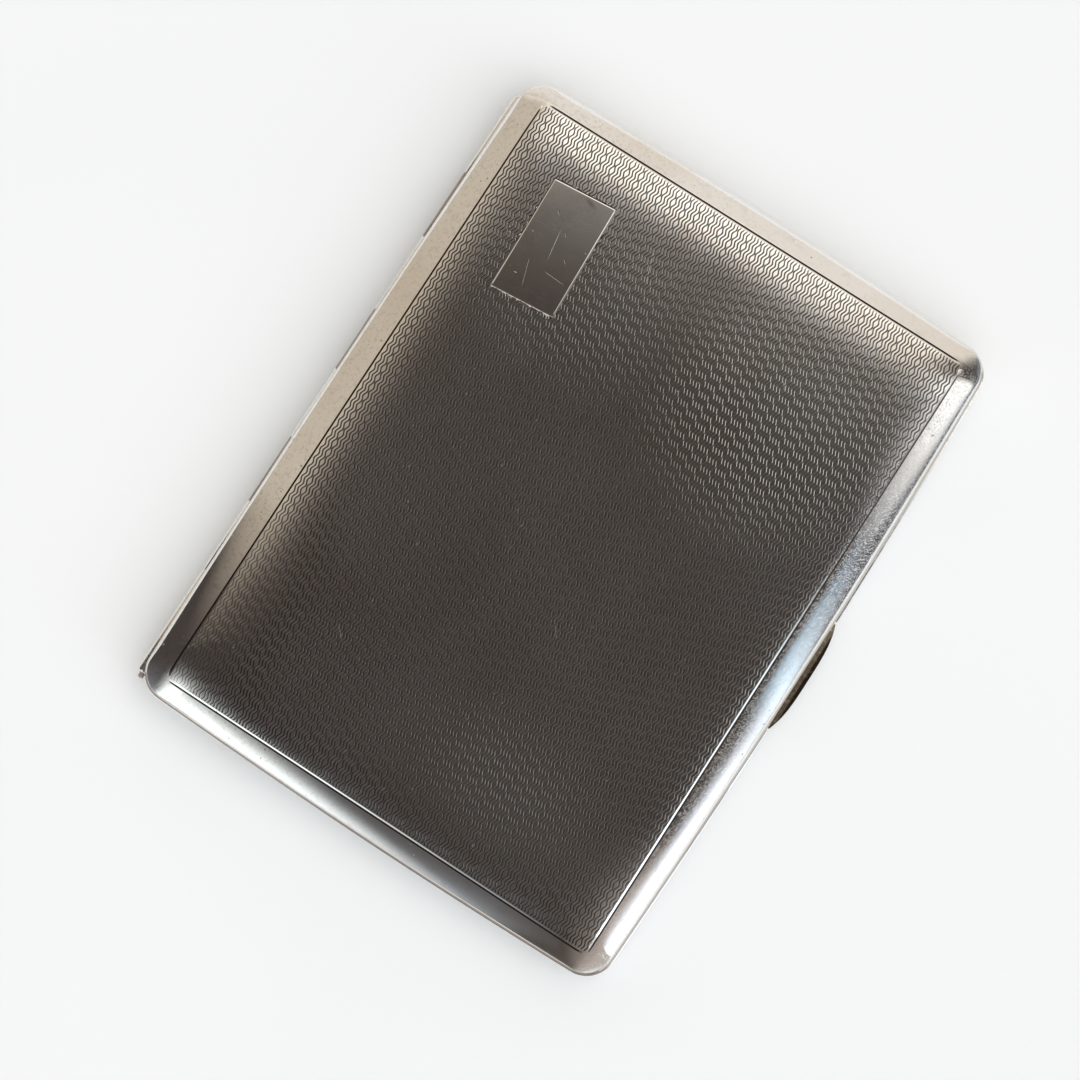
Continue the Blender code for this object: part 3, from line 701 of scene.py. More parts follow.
def prism(name, outline, low, high, along="Z", bevel=0.08, segments=2, sharp=35.0):
    """A flat outline given thickness, with rounded edges."""
    import bmesh
    pts = np.array(outline, float)
    ends = []
    for level in (low, high):
        if along == "Z":
            p = np.stack([pts[:, 0] + SHIFT_X, pts[:, 1], np.full(len(pts), level)], 1)
        else:                                    # outline in X and Z
            p = np.stack([pts[:, 0] + SHIFT_X, np.full(len(pts), level), pts[:, 1]], 1)
        ends.append(p)
    bm = bmesh.new()
    loops = [[bm.verts.new(p * MM) for p in e] for e in ends]
    bm.faces.new(loops[0])
    bm.faces.new(loops[1])
    n = len(pts)
    for i in range(n):
        j = (i + 1) % n
        bm.faces.new((loops[0][i], loops[0][j], loops[1][j], loops[1][i]))
    bmesh.ops.recalc_face_normals(bm, faces=bm.faces)
    if bevel:
        edges = [e for e in bm.edges if len(e.link_faces) == 2
                 and e.calc_face_angle(0) > math.radians(25)]
        bmesh.ops.bevel(bm, geom=edges, offset=bevel * MM, segments=segments,
                        profile=0.5, affect="EDGES", clamp_overlap=True)
    mesh = bpy.data.meshes.new(name)
    bm.to_mesh(mesh)
    bm.free()
    mesh.shade_smooth()
    mesh.set_sharp_from_angle(angle=math.radians(sharp))
    return mesh


def sweep(name, path, section, closed_section=True, sharp=40.0):
    """A section (offset, height) carried along a plan path given as centre
    points and unit normals pointing outward."""
    build = Build()
    loops = []
    for (x, y, nx, ny) in path:
        pts = [(x + nx * o + SHIFT_X, y + ny * o, z) for o, z in section]
        loops.append(build.add(pts))
    for a, b in zip(loops, loops[1:]):
        build.band(a, b)
    build.poly(np.array([loops[0][::-1]]))
    build.poly(np.array([loops[-1]]))
    return fix_normals(build.mesh(name, smooth=sharp))


def tube(name, points, radius, sides=18, flat_ends=True):
    """Round wire along a path of points."""
    pts = np.array(points, float)
    build = Build()
    tangent = np.gradient(pts, axis=0)
    tangent /= np.linalg.norm(tangent, axis=1)[:, None]
    side = np.array([0.0, 1.0, 0.0])
    loops = []
    a = np.linspace(0, 2 * math.pi, sides, endpoint=False)
    for p, t in zip(pts, tangent):
        n1 = np.cross(t, side)
        n1 /= np.linalg.norm(n1)
        n2 = np.cross(t, n1)
        loops.append(build.add(p + radius * (np.outer(np.cos(a), n1) + np.outer(np.sin(a), n2))))
    for low, high in zip(loops, loops[1:]):
        build.band(low, high)
    build.poly(np.array([loops[0][::-1]]))
    build.poly(np.array([loops[-1]]))
    return fix_normals(build.mesh(name, smooth=40.0))


def front_edge(y):
    return HALF_W - BOW_FRONT * (np.asarray(y) / (HALF_L - BOW_END)) ** 2


# ----------------------------------------------------------------- materials
class Graph:
    """A small helper for node trees."""

    def __init__(self, name, world=False):
        if world:
            self.owner = bpy.data.worlds.new(name)
        else:
            self.owner = bpy.data.materials.new(name)
        self.owner.use_nodes = True
        self.tree = self.owner.node_tree
        self.tree.nodes.clear()

    def node(self, kind, **settings):
        n = self.tree.nodes.new(kind)
        for key, value in settings.items():
            if hasattr(n, key) and key not in n.inputs:
                setattr(n, key, value)
            else:
                n.inputs[key].default_value = value
        return n

    def link(self, a, b):
        self.tree.links.new(a, b)

    def put(self, socket, value):
        if isinstance(value, bpy.types.NodeSocket):
            self.link(value, socket)
        else:
            socket.default_value = value

    def math(self, op, a, b=None, c=None, clamp=False):
        n = self.tree.nodes.new("ShaderNodeMath")
        n.operation, n.use_clamp = op, clamp
        for i, v in enumerate((a, b, c)):
            if v is not None:
                self.put(n.inputs[i], v)
        return n.outputs[0]

    def vec(self, op, a, b=None, scale=None):
        n = self.tree.nodes.new("ShaderNodeVectorMath")
        n.operation = op
        self.put(n.inputs[0], a)
        if b is not None:
            self.put(n.inputs[1], b)
        if scale is not None:
            self.put(n.inputs["Scale"], scale)
        return n.outputs["Value"] if op in ("LENGTH", "DISTANCE", "DOT_PRODUCT") else n.outputs["Vector"]

    def ramp(self, value, lo, hi, to_lo=0.0, to_hi=1.0, smooth=True):
        n = self.tree.nodes.new("ShaderNodeMapRange")
        n.interpolation_type = "SMOOTHSTEP" if smooth else "LINEAR"
        n.clamp = True
        self.put(n.inputs["Value"], value)
        n.inputs["From Min"].default_value, n.inputs["From Max"].default_value = lo, hi
        n.inputs["To Min"].default_value, n.inputs["To Max"].default_value = to_lo, to_hi
        return n.outputs["Result"]

    def mix(self, fac, a, b, mode="MIX"):
        n = self.tree.nodes.new("ShaderNodeMix")
        n.data_type, n.blend_type, n.clamp_factor = "RGBA", mode, True
        self.put(n.inputs[0], fac)
        for socket, v in ((n.inputs[6], a), (n.inputs[7], b)):
            if isinstance(v, tuple) and len(v) == 3:
                v = (*v, 1.0)
            self.put(socket, v)
        return n.outputs[2]

    def noise(self, vector, scale, detail=2.0, rough=0.5, distortion=0.0, lac=2.0):
        n = self.tree.nodes.new("ShaderNodeTexNoise")
        self.put(n.inputs["Vector"], vector)
        n.inputs["Scale"].default_value = scale
        n.inputs["Detail"].default_value = detail
        n.inputs["Roughness"].default_value = rough
        n.inputs["Lacunarity"].default_value = lac
        n.inputs["Distortion"].default_value = distortion
        return n.outputs[0]

    def mapping(self, vector, rot=(0, 0, 0), scale=(1, 1, 1), loc=(0, 0, 0)):
        n = self.tree.nodes.new("ShaderNodeMapping")
        self.put(n.inputs["Vector"], vector)
        n.inputs["Rotation"].default_value = rot
        n.inputs["Scale"].default_value = scale
        n.inputs["Location"].default_value = loc
        return n.outputs[0]

    def attribute(self, name):
        n = self.tree.nodes.new("ShaderNodeAttribute")
        n.attribute_name = name
        return n.outputs["Fac"]

    def mm(self):
        """Object coordinates in millimetres."""
        n = self.tree.nodes.new("ShaderNodeTexCoord")
        return self.vec("SCALE", n.outputs["Object"], scale=1000.0)

    def bump(self, height, distance, normal=None, strength=1.0):
        n = self.tree.nodes.new("ShaderNodeBump")
        n.inputs["Strength"].default_value = strength
        n.inputs["Distance"].default_value = distance
        self.put(n.inputs["Height"], height)
        if normal is not None:
            self.link(normal, n.inputs["Normal"])
        return n.outputs[0]

    def surface(self, color, rough, normal=None, metallic=1.0, **more):
        n = self.tree.nodes.new("ShaderNodeBsdfPrincipled")
        if isinstance(color, tuple) and len(color) == 3:
            color = (*color, 1.0)
        self.put(n.inputs["Base Color"], color)
        self.put(n.inputs["Roughness"], rough)
        n.inputs["Metallic"].default_value = metallic
        for key, value in more.items():
            n.inputs[key.replace("_", " ")].default_value = value
        if normal is not None:
            self.link(normal, n.inputs["Normal"])
        out = self.tree.nodes.new("ShaderNodeOutputMaterial")
        self.link(n.outputs[0], out.inputs["Surface"])
        return self.owner


def turned(g, pos, centre, angle, along, across):
    """Coordinates about a centre, turned in plan and scaled both ways."""
    c, s = math.cos(angle), math.sin(angle)
    local = g.vec("SUBTRACT", pos, (centre[0] + SHIFT_X, centre[1], 0.0))
    n = g.tree.nodes.new("ShaderNodeCombineXYZ")
    g.link(g.vec("DOT_PRODUCT", local, (c * along, s * along, 0.0)), n.inputs[0])
    g.link(g.vec("DOT_PRODUCT", local, (-s * across, c * across, 0.0)), n.inputs[1])
    return n.outputs[0], local


def hairlines(g, pos, angle, stretch, fine, lo, hi, seed):
    """Fine scratches at one angle: long thin streaks, broken up."""
    flat, local = turned(g, pos, (seed, 2 * seed), angle, stretch, fine)
    lifted = g.vec("ADD", flat, g.vec("MULTIPLY", local, (0.0, 0.0, fine)))
    return g.ramp(g.noise(lifted, 1.0, detail=1.0, rough=0.4), lo, hi)


def spot(g, pos, centre, radii, angle=0.0, core=0.0):
    """1 at a centre, falling softly to 0 at the radii."""
    flat, _ = turned(g, pos, centre, angle, 1.0 / radii[0], 1.0 / radii[1])
    return g.ramp(g.vec("LENGTH", flat), 1.0, core)


def scratch(g, pos, a, b, half):
    """1 on a straight scratch from a to b, tapering to its ends."""
    length = math.hypot(b[0] - a[0], b[1] - a[1])
    flat, _ = turned(g, pos, ((a[0] + b[0]) / 2, (a[1] + b[1]) / 2),
                     math.atan2(b[1] - a[1], b[0] - a[0]), 2.0 / length, 1.0 / half)
    return g.ramp(g.vec("LENGTH", flat), 1.0, 0.35)


def silver(name, tint=(0.86, 0.835, 0.79), rough=0.2, wear_and_glint=1.0, marks=1.0, face=False, thumb=False):
    g = Graph(name)
    pos = g.mm()
    cloud = g.noise(pos, 0.045, detail=4.0, rough=0.55, distortion=0.6)
    mottle = g.noise(pos, 0.55, detail=5.0, rough=0.65)
    grain = g.noise(pos, 3.2, detail=3.0, rough=0.6)
    color = g.mix(g.ramp(cloud, 0.40, 0.68), tint, tuple(t * k for t, k in zip(tint, (0.93, 0.905, 0.87))))
    color = g.mix(g.math("MULTIPLY", g.ramp(mottle, 0.50, 0.72), 0.22 * wear_and_glint), color,
                  tuple(t * k for t, k in zip(tint, (0.72, 0.67, 0.60))))
    # hairline scratches in several directions
    lines = None
    for k, (angle, stretch, fine, lo, hi) in enumerate((
            (0.35, 0.22, 9.0, 0.66, 0.74), (1.25, 0.16, 11.0, 0.67, 0.75),
            (-0.62, 0.20, 8.0, 0.66, 0.75), (2.35, 0.30, 13.0, 0.68, 0.76),
            (0.05, 0.12, 7.0, 0.68, 0.74))):
        one = hairlines(g, pos, angle, stretch, fine, lo, hi, 3.7 * (k + 1))
        lines = one if lines is None else g.math("MAXIMUM", lines, one)
    patch = g.ramp(g.noise(pos, 0.12, detail=3.0), 0.38, 0.62, 0.25, 1.0)
    lines = g.math("MULTIPLY", lines, patch)
    if face:
        lines = g.math("MULTIPLY", lines, g.ramp(g.attribute("field"), 0.0, 1.0, 1.0, 0.22))
    swirl = g.noise(g.mapping(pos, scale=(1, 1, 1)), 0.9, detail=4.0, rough=0.7, distortion=1.5)
    value = g.ramp(swirl, 0.35, 0.7, rough * 0.80, rough * 1.35)
    value = g.math("ADD", value, g.math("MULTIPLY", lines, 0.06 * marks))
    value = g.math("ADD", value, g.ramp(mottle, 0.5, 0.75, 0.0, 0.06 * wear_and_glint * marks))
    bump_height = g.math("MULTIPLY", lines, -1.0)
    normal = g.bump(bump_height, 0.000004 * marks, strength=0.55)
    normal = g.bump(grain, 0.0000022 * marks, normal=normal, strength=0.6)
    # the sheet isn't perfectly even
    wobble = g.noise(pos, 0.11, detail=2.0, rough=0.5)
    normal = g.bump(wobble, 0.00009 * marks, normal=normal, strength=0.5)
    if face:
        color, value, normal = face_detail(g, pos, color, value, normal, lines, mottle)
    if thumb:
        # its outer edge is made nearly black
        out = g.vec("DOT_PRODUCT", pos, (1.0, 0.0, 0.0))
        rim = g.ramp(out, HALF_W + SHIFT_X + 0.30, HALF_W + SHIFT_X + 0.52)
        color = g.mix(g.math("MULTIPLY", rim, 0.93), color, (0.085, 0.055, 0.035))
    return g.surface(color, value, normal)


def face_detail(g, pos, color, value, normal, lines, mottle):
    """What only the two halves have: oxide in the cuts, tarnish and marks."""
    groove, field, plate = g.attribute("groove"), g.attribute("field"), g.attribute("plate")
    line, soil = g.attribute("line"), g.attribute("soil")
    top = g.ramp(g.vec("DOT_PRODUCT", pos, (0.0, 0.0, 1.0)), 5.0, 6.0)
    plain = g.math("SUBTRACT", 1.0, g.math("MAXIMUM", field, plate))
    # faint warm tint over the middle of the face: partly tarnish, partly a painted reflection of the warm dark
    # overhead
    warm = g.noise(pos, 0.07, detail=3.0, rough=0.6, distortion=0.8)
    centre = g.math("MULTIPLY", spot(g, pos, (-4.0, -10.0), (40.0, 52.0)), field)
    color = g.mix(g.math("MULTIPLY", centre, g.ramp(warm, 0.38, 0.62, 0.0, 0.16)), color,
                  (0.78, 0.66, 0.58))
    # a speckled bloom on the plain border, more on the hinge side
    bloom = g.noise(pos, 1.5, detail=5.0, rough=0.75)
    hinge = g.ramp(g.vec("DOT_PRODUCT", pos, (1.0, 0.0, 0.0)), 30.0, -38.0, 0.12, 1.0)
    bloomed = g.math("MULTIPLY", g.math("MULTIPLY", g.ramp(bloom, 0.50, 0.64), hinge), plain)
    color = g.mix(g.math("MULTIPLY", bloomed, 0.24), color, (0.44, 0.37, 0.30))
    value = g.math("ADD", value, g.math("MULTIPLY", bloomed, 0.05))
    # fine crossed polish marks on the thumbpiece side
    cross = None
    for k, (angle, stretch, fine) in enumerate(((0.95, 0.55, 9.0), (-0.75, 0.60, 10.0),
                                                (0.10, 0.50, 8.0))):
        one = hairlines(g, pos, angle, stretch, fine, 0.63, 0.70, 2.9 * (k + 1))
        cross = one if cross is None else g.math("MAXIMUM", cross, one)
    front = g.ramp(g.vec("DOT_PRODUCT", pos, (1.0, 0.0, 0.0)), 34.5, 37.0)
    cross = g.math("MULTIPLY", cross, front)
    normal = g.bump(g.math("MULTIPLY", cross, -1.0), 0.000006, normal=normal, strength=0.8)
    value = g.math("ADD", value, g.math("MULTIPLY", cross, 0.04))
    # the cut lines: their walls are dull, darkest where oxide has stayed
    oxide = g.ramp(g.noise(pos, 0.9, detail=4.0, rough=0.65), 0.34, 0.66)
    # the wall that faces the thumbpiece side has kept some metal, and on it glints
    # are painted towards the top end and the thumbpiece side, most of all where
    # the waves turn it towards the key light: painted highlights
    wear_and_glint = g.math("MAXIMUM", spot(g, pos, (19.0, 32.0), (27.0, 26.0), core=0.35),
                  g.math("MULTIPLY", spot(g, pos, (-16.0, 32.0), (26.0, 20.0), core=0.2), 0.60))
    wear_and_glint = g.math("MAXIMUM", wear_and_glint, g.math("MULTIPLY", spot(g, pos, (36.4, -12.0), (2.4, 50.0), core=0.3), 0.7))
    wear_and_glint = g.math("MAXIMUM", wear_and_glint, g.math("MULTIPLY", spot(g, pos, (12.0, -37.0), (26.0, 15.0)), 0.40))
    lean_to_light = g.ramp(g.attribute("lean"), 0.25, -0.55)
    wear_and_glint = g.math("MULTIPLY", wear_and_glint, lean_to_light)
    # fewer painted glints, and darker walls, towards the hinge's lower corner
    calm = g.ramp(spot(g, pos, (-26.0, -38.0), (26.0, 26.0), core=0.2), 0.0, 1.0, 1.0, 0.40)
    lip = g.mix(lean_to_light, (0.150, 0.138, 0.127), (0.068, 0.062, 0.057))
    lip = g.mix(wear_and_glint, lip, (0.96, 0.93, 0.88))
    deep = g.mix(oxide, (0.030, 0.024, 0.020), (0.012, 0.010, 0.008))
    inside = g.mix(g.math("MULTIPLY", g.ramp(g.attribute("flank"), -0.05, -0.40), calm), deep, lip)
    wall = g.ramp(groove, 0.02, 0.15)
    color = g.mix(g.math("MULTIPLY", wall, 0.98), color, inside)
    value = g.math("ADD", value, g.math("MULTIPLY", wall, 0.27))
    # brown dirt in the border line and round the cartouche, with painted shade on some sides, and painted
    # shade in the seam
    color = g.mix(g.math("MULTIPLY", g.ramp(line, 0.0, 0.70), 0.98), color, (0.030, 0.018, 0.012))
    value = g.math("ADD", value, g.math("MULTIPLY", line, 0.25))
    # painted shade in the seam and on the lid's turned-down edge
    color = g.mix(g.math("MULTIPLY", soil, 0.85), color, (0.170, 0.100, 0.058))
    value = g.math("ADD", value, g.math("MULTIPLY", soil, 0.25))
    # pits: sparse dark specks
    cells = g.tree.nodes.new("ShaderNodeTexVoronoi")
    cells.feature = "F1"
    g.link(pos, cells.inputs["Vector"])
    cells.inputs["Scale"].default_value = 0.85
    cells.inputs["Randomness"].default_value = 1.0
    speck = g.ramp(cells.outputs["Distance"], 0.12, 0.055)
    pick = g.ramp(g.noise(pos, 0.30, detail=2.0), 0.56, 0.63)
    pit = g.math("MULTIPLY", speck, pick)
    color = g.mix(g.math("MULTIPLY", pit, 0.85), color, (0.05, 0.035, 0.025))
    normal = g.bump(g.math("MULTIPLY", pit, -1.0), 0.00003, normal=normal, strength=0.8)
    # a few marks that can be made out one by one, light ones then dark ones
    for dark, rows in ((False, (((-24.1, 36.9), (-23.0, 30.2), 0.050), ((-22.8, 29.4), (-18.9, 29.2), 0.022),
                                ((-25.7, 30.3), (-24.1, 25.4), 0.022), ((-26.4, 27.0), (-25.9, 27.1), 0.08),
                                ((-11.0, 41.5), (-8.7, 35.0), 0.045), ((4.9, 21.8), (5.9, 19.2), 0.05),
                                ((15.6, 34.8), (16.6, 33.4), 0.08), ((6.0, -12.0), (9.0, -16.0), 0.04),
                                ((-20.0, -30.0), (-17.4, -32.6), 0.04))),
                       (True, (((-25.9, 38.3), (-25.3, 37.6), 0.10), ((-23.1, 36.0), (-22.7, 35.3), 0.09),
                               ((-21.2, 32.6), (-20.5, 31.9), 0.09)))):
        marks = None
        for a, b, half in rows:
            one = scratch(g, pos, a, b, half)
            marks = one if marks is None else g.math("MAXIMUM", marks, one)
        marks = g.math("MULTIPLY", marks, top)
        color = g.mix(g.math("MULTIPLY", marks, 0.75 if dark else 0.22), color,
                      (0.06, 0.045, 0.035) if dark else (0.86, 0.84, 0.80))
        normal = g.bump(g.math("MULTIPLY", marks, -1.0), 0.000012, normal=normal, strength=0.5)
        value = g.math("ADD", value, g.math("MULTIPLY", marks, 0.14))
    smudge = g.math("MULTIPLY", spot(g, pos, (-22.4, 41.6), (1.6, 0.6), -0.3), g.math("MULTIPLY", plate, 0.45))
    color = g.mix(smudge, color, (0.20, 0.13, 0.09))
    return color, value, normal


def gilt(name):
    g = Graph(name)
    pos = g.mm()
    cloud = g.noise(pos, 0.06, detail=4.0, rough=0.55, distortion=0.5)
    fine = g.noise(pos, 1.1, detail=5.0, rough=0.65)
    color = g.mix(g.ramp(cloud, 0.36, 0.66), (0.93, 0.70, 0.36), (0.86, 0.67, 0.42))
    color = g.mix(g.ramp(fine, 0.54, 0.76, 0.0, 0.28), color, (0.74, 0.54, 0.28))
    wear_and_glint = g.ramp(g.noise(pos, 0.16, detail=5.0, rough=0.7), 0.60, 0.70)
    color = g.mix(g.math("MULTIPLY", wear_and_glint, 0.35), color, (0.83, 0.79, 0.71))
    lines = None
    for k, (angle, stretch, fin) in enumerate(((0.15, 0.10, 8.0), (1.4, 0.14, 9.0), (-0.8, 0.2, 7.0))):
        one = hairlines(g, pos, angle, stretch, fin, 0.66, 0.75, 5.1 * (k + 1))
        lines = one if lines is None else g.math("MAXIMUM", lines, one)
    value = g.ramp(fine, 0.3, 0.75, 0.30, 0.335)
    value = g.math("ADD", value, g.math("MULTIPLY", lines, 0.12))
    normal = g.bump(g.math("MULTIPLY", lines, -1.0), 0.000004, strength=0.6)
    normal = g.bump(g.noise(pos, 2.4, detail=3.0), 0.000003, normal=normal, strength=0.6)
    normal = g.bump(g.noise(pos, 0.14, detail=2.0), 0.00012, normal=normal, strength=0.5)
    return g.surface(color, value, normal)


def steel(name, bright=(0.50, 0.50, 0.51), dull=(0.30, 0.26, 0.23), rough=0.26):
    g = Graph(name)
    pos = g.mm()
    draw = g.noise(g.mapping(pos, scale=(9.0, 0.35, 9.0)), 1.0, detail=3.0)
    stain = g.noise(pos, 0.5, detail=4.0, rough=0.6)
    color = g.mix(g.ramp(stain, 0.45, 0.72), bright, dull)
    value = g.ramp(draw, 0.3, 0.7, rough, rough + 0.20)
    normal = g.bump(draw, 0.000006, strength=0.6)
    return g.surface(color, value, normal)


def webbing(name):
    g = Graph(name)
    pos = g.mm()
    sep = g.tree.nodes.new("ShaderNodeSeparateXYZ")
    g.link(pos, sep.inputs[0])
    x, y = sep.outputs[0], sep.outputs[1]
    # warp threads run along Y, ribs across
    warp = g.math("SINE", g.math("MULTIPLY", x, 2 * math.pi / 0.30))
    rib = g.math("SINE", g.math("MULTIPLY", y, 2 * math.pi / 0.42))
    weave = g.math("MULTIPLY", warp, rib)
    soil = g.noise(pos, 0.18, detail=4.0, rough=0.6)
    fuzz = g.noise(pos, 6.0, detail=3.0, rough=0.7)
    color = g.mix(g.ramp(soil, 0.35, 0.7), (0.70, 0.61, 0.43), (0.58, 0.48, 0.32))
    # painted shade: the weave is darker where its bump is low
    color = g.mix(g.ramp(weave, -0.6, 0.8, 0.35, 0.0), color, (0.40, 0.32, 0.20))
    color = g.mix(g.ramp(fuzz, 0.40, 0.75, 0.0, 0.35), color, (0.82, 0.75, 0.60))
    # a darker rubber thread shows at each edge of the ribbon
    edge = g.ramp(g.math("ABSOLUTE", g.math("SUBTRACT", x, SHIFT_X)), BAND_HALF - 0.9, BAND_HALF - 0.2)
    color = g.mix(g.math("MULTIPLY", edge, 0.3), color, (0.46, 0.37, 0.24))
    normal = g.bump(weave, 0.00003, strength=0.7)
    normal = g.bump(fuzz, 0.00002, normal=normal, strength=0.6)
    return g.surface(color, 0.82, normal, metallic=0.0, Sheen_Weight=0.35, Sheen_Roughness=0.4)


SILVER = silver("silver_face", tint=(0.945, 0.93, 0.91), rough=0.030, marks=0.20, face=True)
SILVER_PLAIN = silver("silver_plain", rough=0.22)
SILVER_BLACK = silver("silver_near_black", tint=(0.34, 0.29, 0.24), rough=0.28, wear_and_glint=1.6)
SILVER_DARK = silver("silver_worn", tint=(0.50, 0.44, 0.37), rough=0.30, wear_and_glint=1.6)
SILVER_THUMB = silver("silver_thumb", tint=(0.78, 0.70, 0.55), rough=0.20, thumb=True)
GILT = gilt("gilt")
STEEL = steel("steel")
PIN_STEEL = steel("steel_rubbed", (0.95, 0.94, 0.91), (0.84, 0.81, 0.76), 0.32)
WEBBING = webbing("elastic_webbing")

# -------------------------------------------------------------------- pieces
lid_mesh = shell("lid_cover", True, None, True)
new_object("lid_cover", lid_mesh, [SILVER, GILT], "lid", ["lid_shell"])
base_mesh = shell("base_tray", False, THUMB_HALF + 0.3, False)
new_object("base_tray", base_mesh, [SILVER, GILT], "base", ["base_shell"])

# hinge knuckles: short tubes with softened ends, the lowest one domed
spans = list(zip(KNUCKLE_ENDS, KNUCKLE_ENDS[1:]))
for index, (high, low) in enumerate(spans):
    top, bot, soft = high - 0.04, low + 0.04, 0.10
    ro, ri = TUBE_R, PIN_R + 0.03
    last = index == len(spans) - 1
    dome = 0.46 if last else soft
    foot = [(ro - dome * (1 - math.sin(a)), bot + dome * (1 - math.cos(a)))
            for a in np.linspace(0, math.pi / 2, 7 if last else 3)]
    prof = [(ri, bot)] + foot + [(ro, top - soft), (ro - 0.03, top - 0.03), (ro - soft, top),
                                 (ri, top), (ri, bot)]
    body = "base" if index % 2 else "lid"
    node = "%s_knuckle_%d" % (body, index // 2 + 1)
    mesh = lathe(node + "_tube", prof, (HINGE_X + SHIFT_X, 0.0, SEAM), "Y", 48, 50.0)
    # the base's knuckles, but for the lowest, are made near-black
    new_object(node + "_tube", mesh, [SILVER_PLAIN if body == "lid" or last else SILVER_BLACK],
               body, [node])

prof = []
for sign, tip in ((1.0, PIN_ENDS[0]), (-1.0, PIN_ENDS[1])):
    cap = [(max(PIN_R * math.sin(a), 0.004), tip - sign * 0.35 * (1 - math.cos(a)))
           for a in np.linspace(0, math.pi / 2, 9)]
    prof += cap if sign > 0 else cap[::-1]
new_object("hinge_pin_wire", lathe("hinge_pin_wire", prof, (HINGE_X + SHIFT_X, 0.0, SEAM), "Y", 36, 60.0),
           [PIN_STEEL], "base", ["hinge_pin"])


def trough(name, up, body, node):
    """Quarter-round bearer behind the knuckles with a flange to the wall."""
    s = 1.0 if up else -1.0
    inner, outer = 1.05, 1.32
    arc = [math.radians(d) for d in np.linspace(20, 48, 9)]
    loop = [(HINGE_X + inner * math.cos(a), SEAM + s * inner * math.sin(a)) for a in arc]
    loop += [(HINGE_X + 0.82, SEAM + s * 2.15), (HINGE_X + 1.02, SEAM + s * 2.20),
             (HINGE_X + 0.92, SEAM + s * 0.95)]
    arc = [math.radians(d) for d in np.linspace(46, 20, 8)]
    loop += [(HINGE_X + outer * math.cos(a), SEAM + s * outer * math.sin(a)) for a in arc]
    mesh = prism(name, loop, -BEARER_HALF, BEARER_HALF, along="Y", bevel=0.0, sharp=40.0)
    new_object(name, mesh, [SILVER_DARK], body, [node])


trough("base_trough", False, "base", "base_bearer")
trough("lid_trough", True, "lid", "lid_bearer")


def bezel(name, side, node):
    """Strip inside the rim, with a rounded lip that the lid slides over."""
    outline = Outline((HALF_W, BOW_FRONT), (HALF_W, BOW_HINGE), (HALF_L, BOW_END), CORNER_R)
    path = []
    start = 10.3
    ts = np.linspace((start / EDGE.cf[4] + 1) / 2, 1, 40, endpoint=False)
    steps = [(0, t) for t in ts] + [(1, t) for t in np.linspace(0, 1, 14, endpoint=False)]
    steps += [(2, t) for t in np.linspace(0, 1, 40)]
    pts = np.array([outline.at(s, t) for s, t in steps])
    pts = pts[pts[:, 0] > -37.6]
    tang = np.gradient(pts, axis=0)
    tang /= np.linalg.norm(tang, axis=1)[:, None]
    nx, ny = tang[:, 1], -tang[:, 0]
    for (x, y), a, b in zip(pts, nx, ny):
        path.append((x, side * y, a, side * b))
    out, inn, low, top = -1.2, -1.68, 2.62, 5.6
    section = [(out, low), (inn - 0.35, low - 0.12), (inn, low + 0.5), (inn, top - 0.12),
               (inn + 0.07, top - 0.02), (inn + 0.2, top), (out - 0.12, top - 0.05),
               (out, top - 0.22)]
    mesh = sweep(name, path, section, sharp=50.0)
    new_object(name, mesh, [GILT], "base", [node])


bezel("base_bezel_1_strip", 1.0, "base_bezel_1")
bezel("base_bezel_2_strip", -1.0, "base_bezel_2")

# thumbpiece: a thin crescent with a well rounded edge
ys = THUMB_HALF * np.sin(np.linspace(-math.pi / 2, math.pi / 2, 61))
crescent = [(front_edge(y) + THUMB_PROUD * (1 - abs(y / THUMB_HALF) ** THUMB_FULL), y) for y in ys]
crescent += [(HALF_W - 2.08, THUMB_HALF), (HALF_W - 2.08, -THUMB_HALF)]
new_object("thumbpiece_crescent", prism("thumbpiece_crescent", crescent, *THUMB_Z, bevel=0.26,
                                        segments=5, sharp=50.0), [SILVER_THUMB], "thumb",
           ["thumbpiece"])

hook = [(HALF_W - 2.55, 3.5), (HALF_W - 2.08, 3.5), (HALF_W - 2.08, 5.72), (HALF_W - 1.62, 5.74),
        (HALF_W - 1.60, 5.88), (HALF_W - 2.08, 6.24), (HALF_W - 2.55, 6.24)]
new_object("catch_hook_plate", prism("catch_hook_plate", hook, -4.0, 4.0, along="Y", bevel=0.05),
           [SILVER_DARK], "thumb", ["catch_hook"])
striker = [(HALF_W - 1.5, 4.97), (HALF_W - 0.62, 4.97), (HALF_W - 0.62, 5.9), (HALF_W - 0.9, 5.62),
           (HALF_W - 1.42, 5.54), (HALF_W - 1.5, 5.46)]
new_object("lid_striker_ledge", prism("lid_striker_ledge", striker, -5.0, 5.0, along="Y",
                                      bevel=0.05), [GILT], "lid", ["lid_striker"])
block = [(HALF_W - 2.6, -26.0), (HALF_W - 1.95, -26.0), (HALF_W - 1.86, -19.5), (HALF_W - 2.6, -19.5)]
new_object("spring_block_pad", prism("spring_block_pad", block, 3.0, 5.2, bevel=0.1),
           [SILVER_DARK], "base", ["spring_block"])


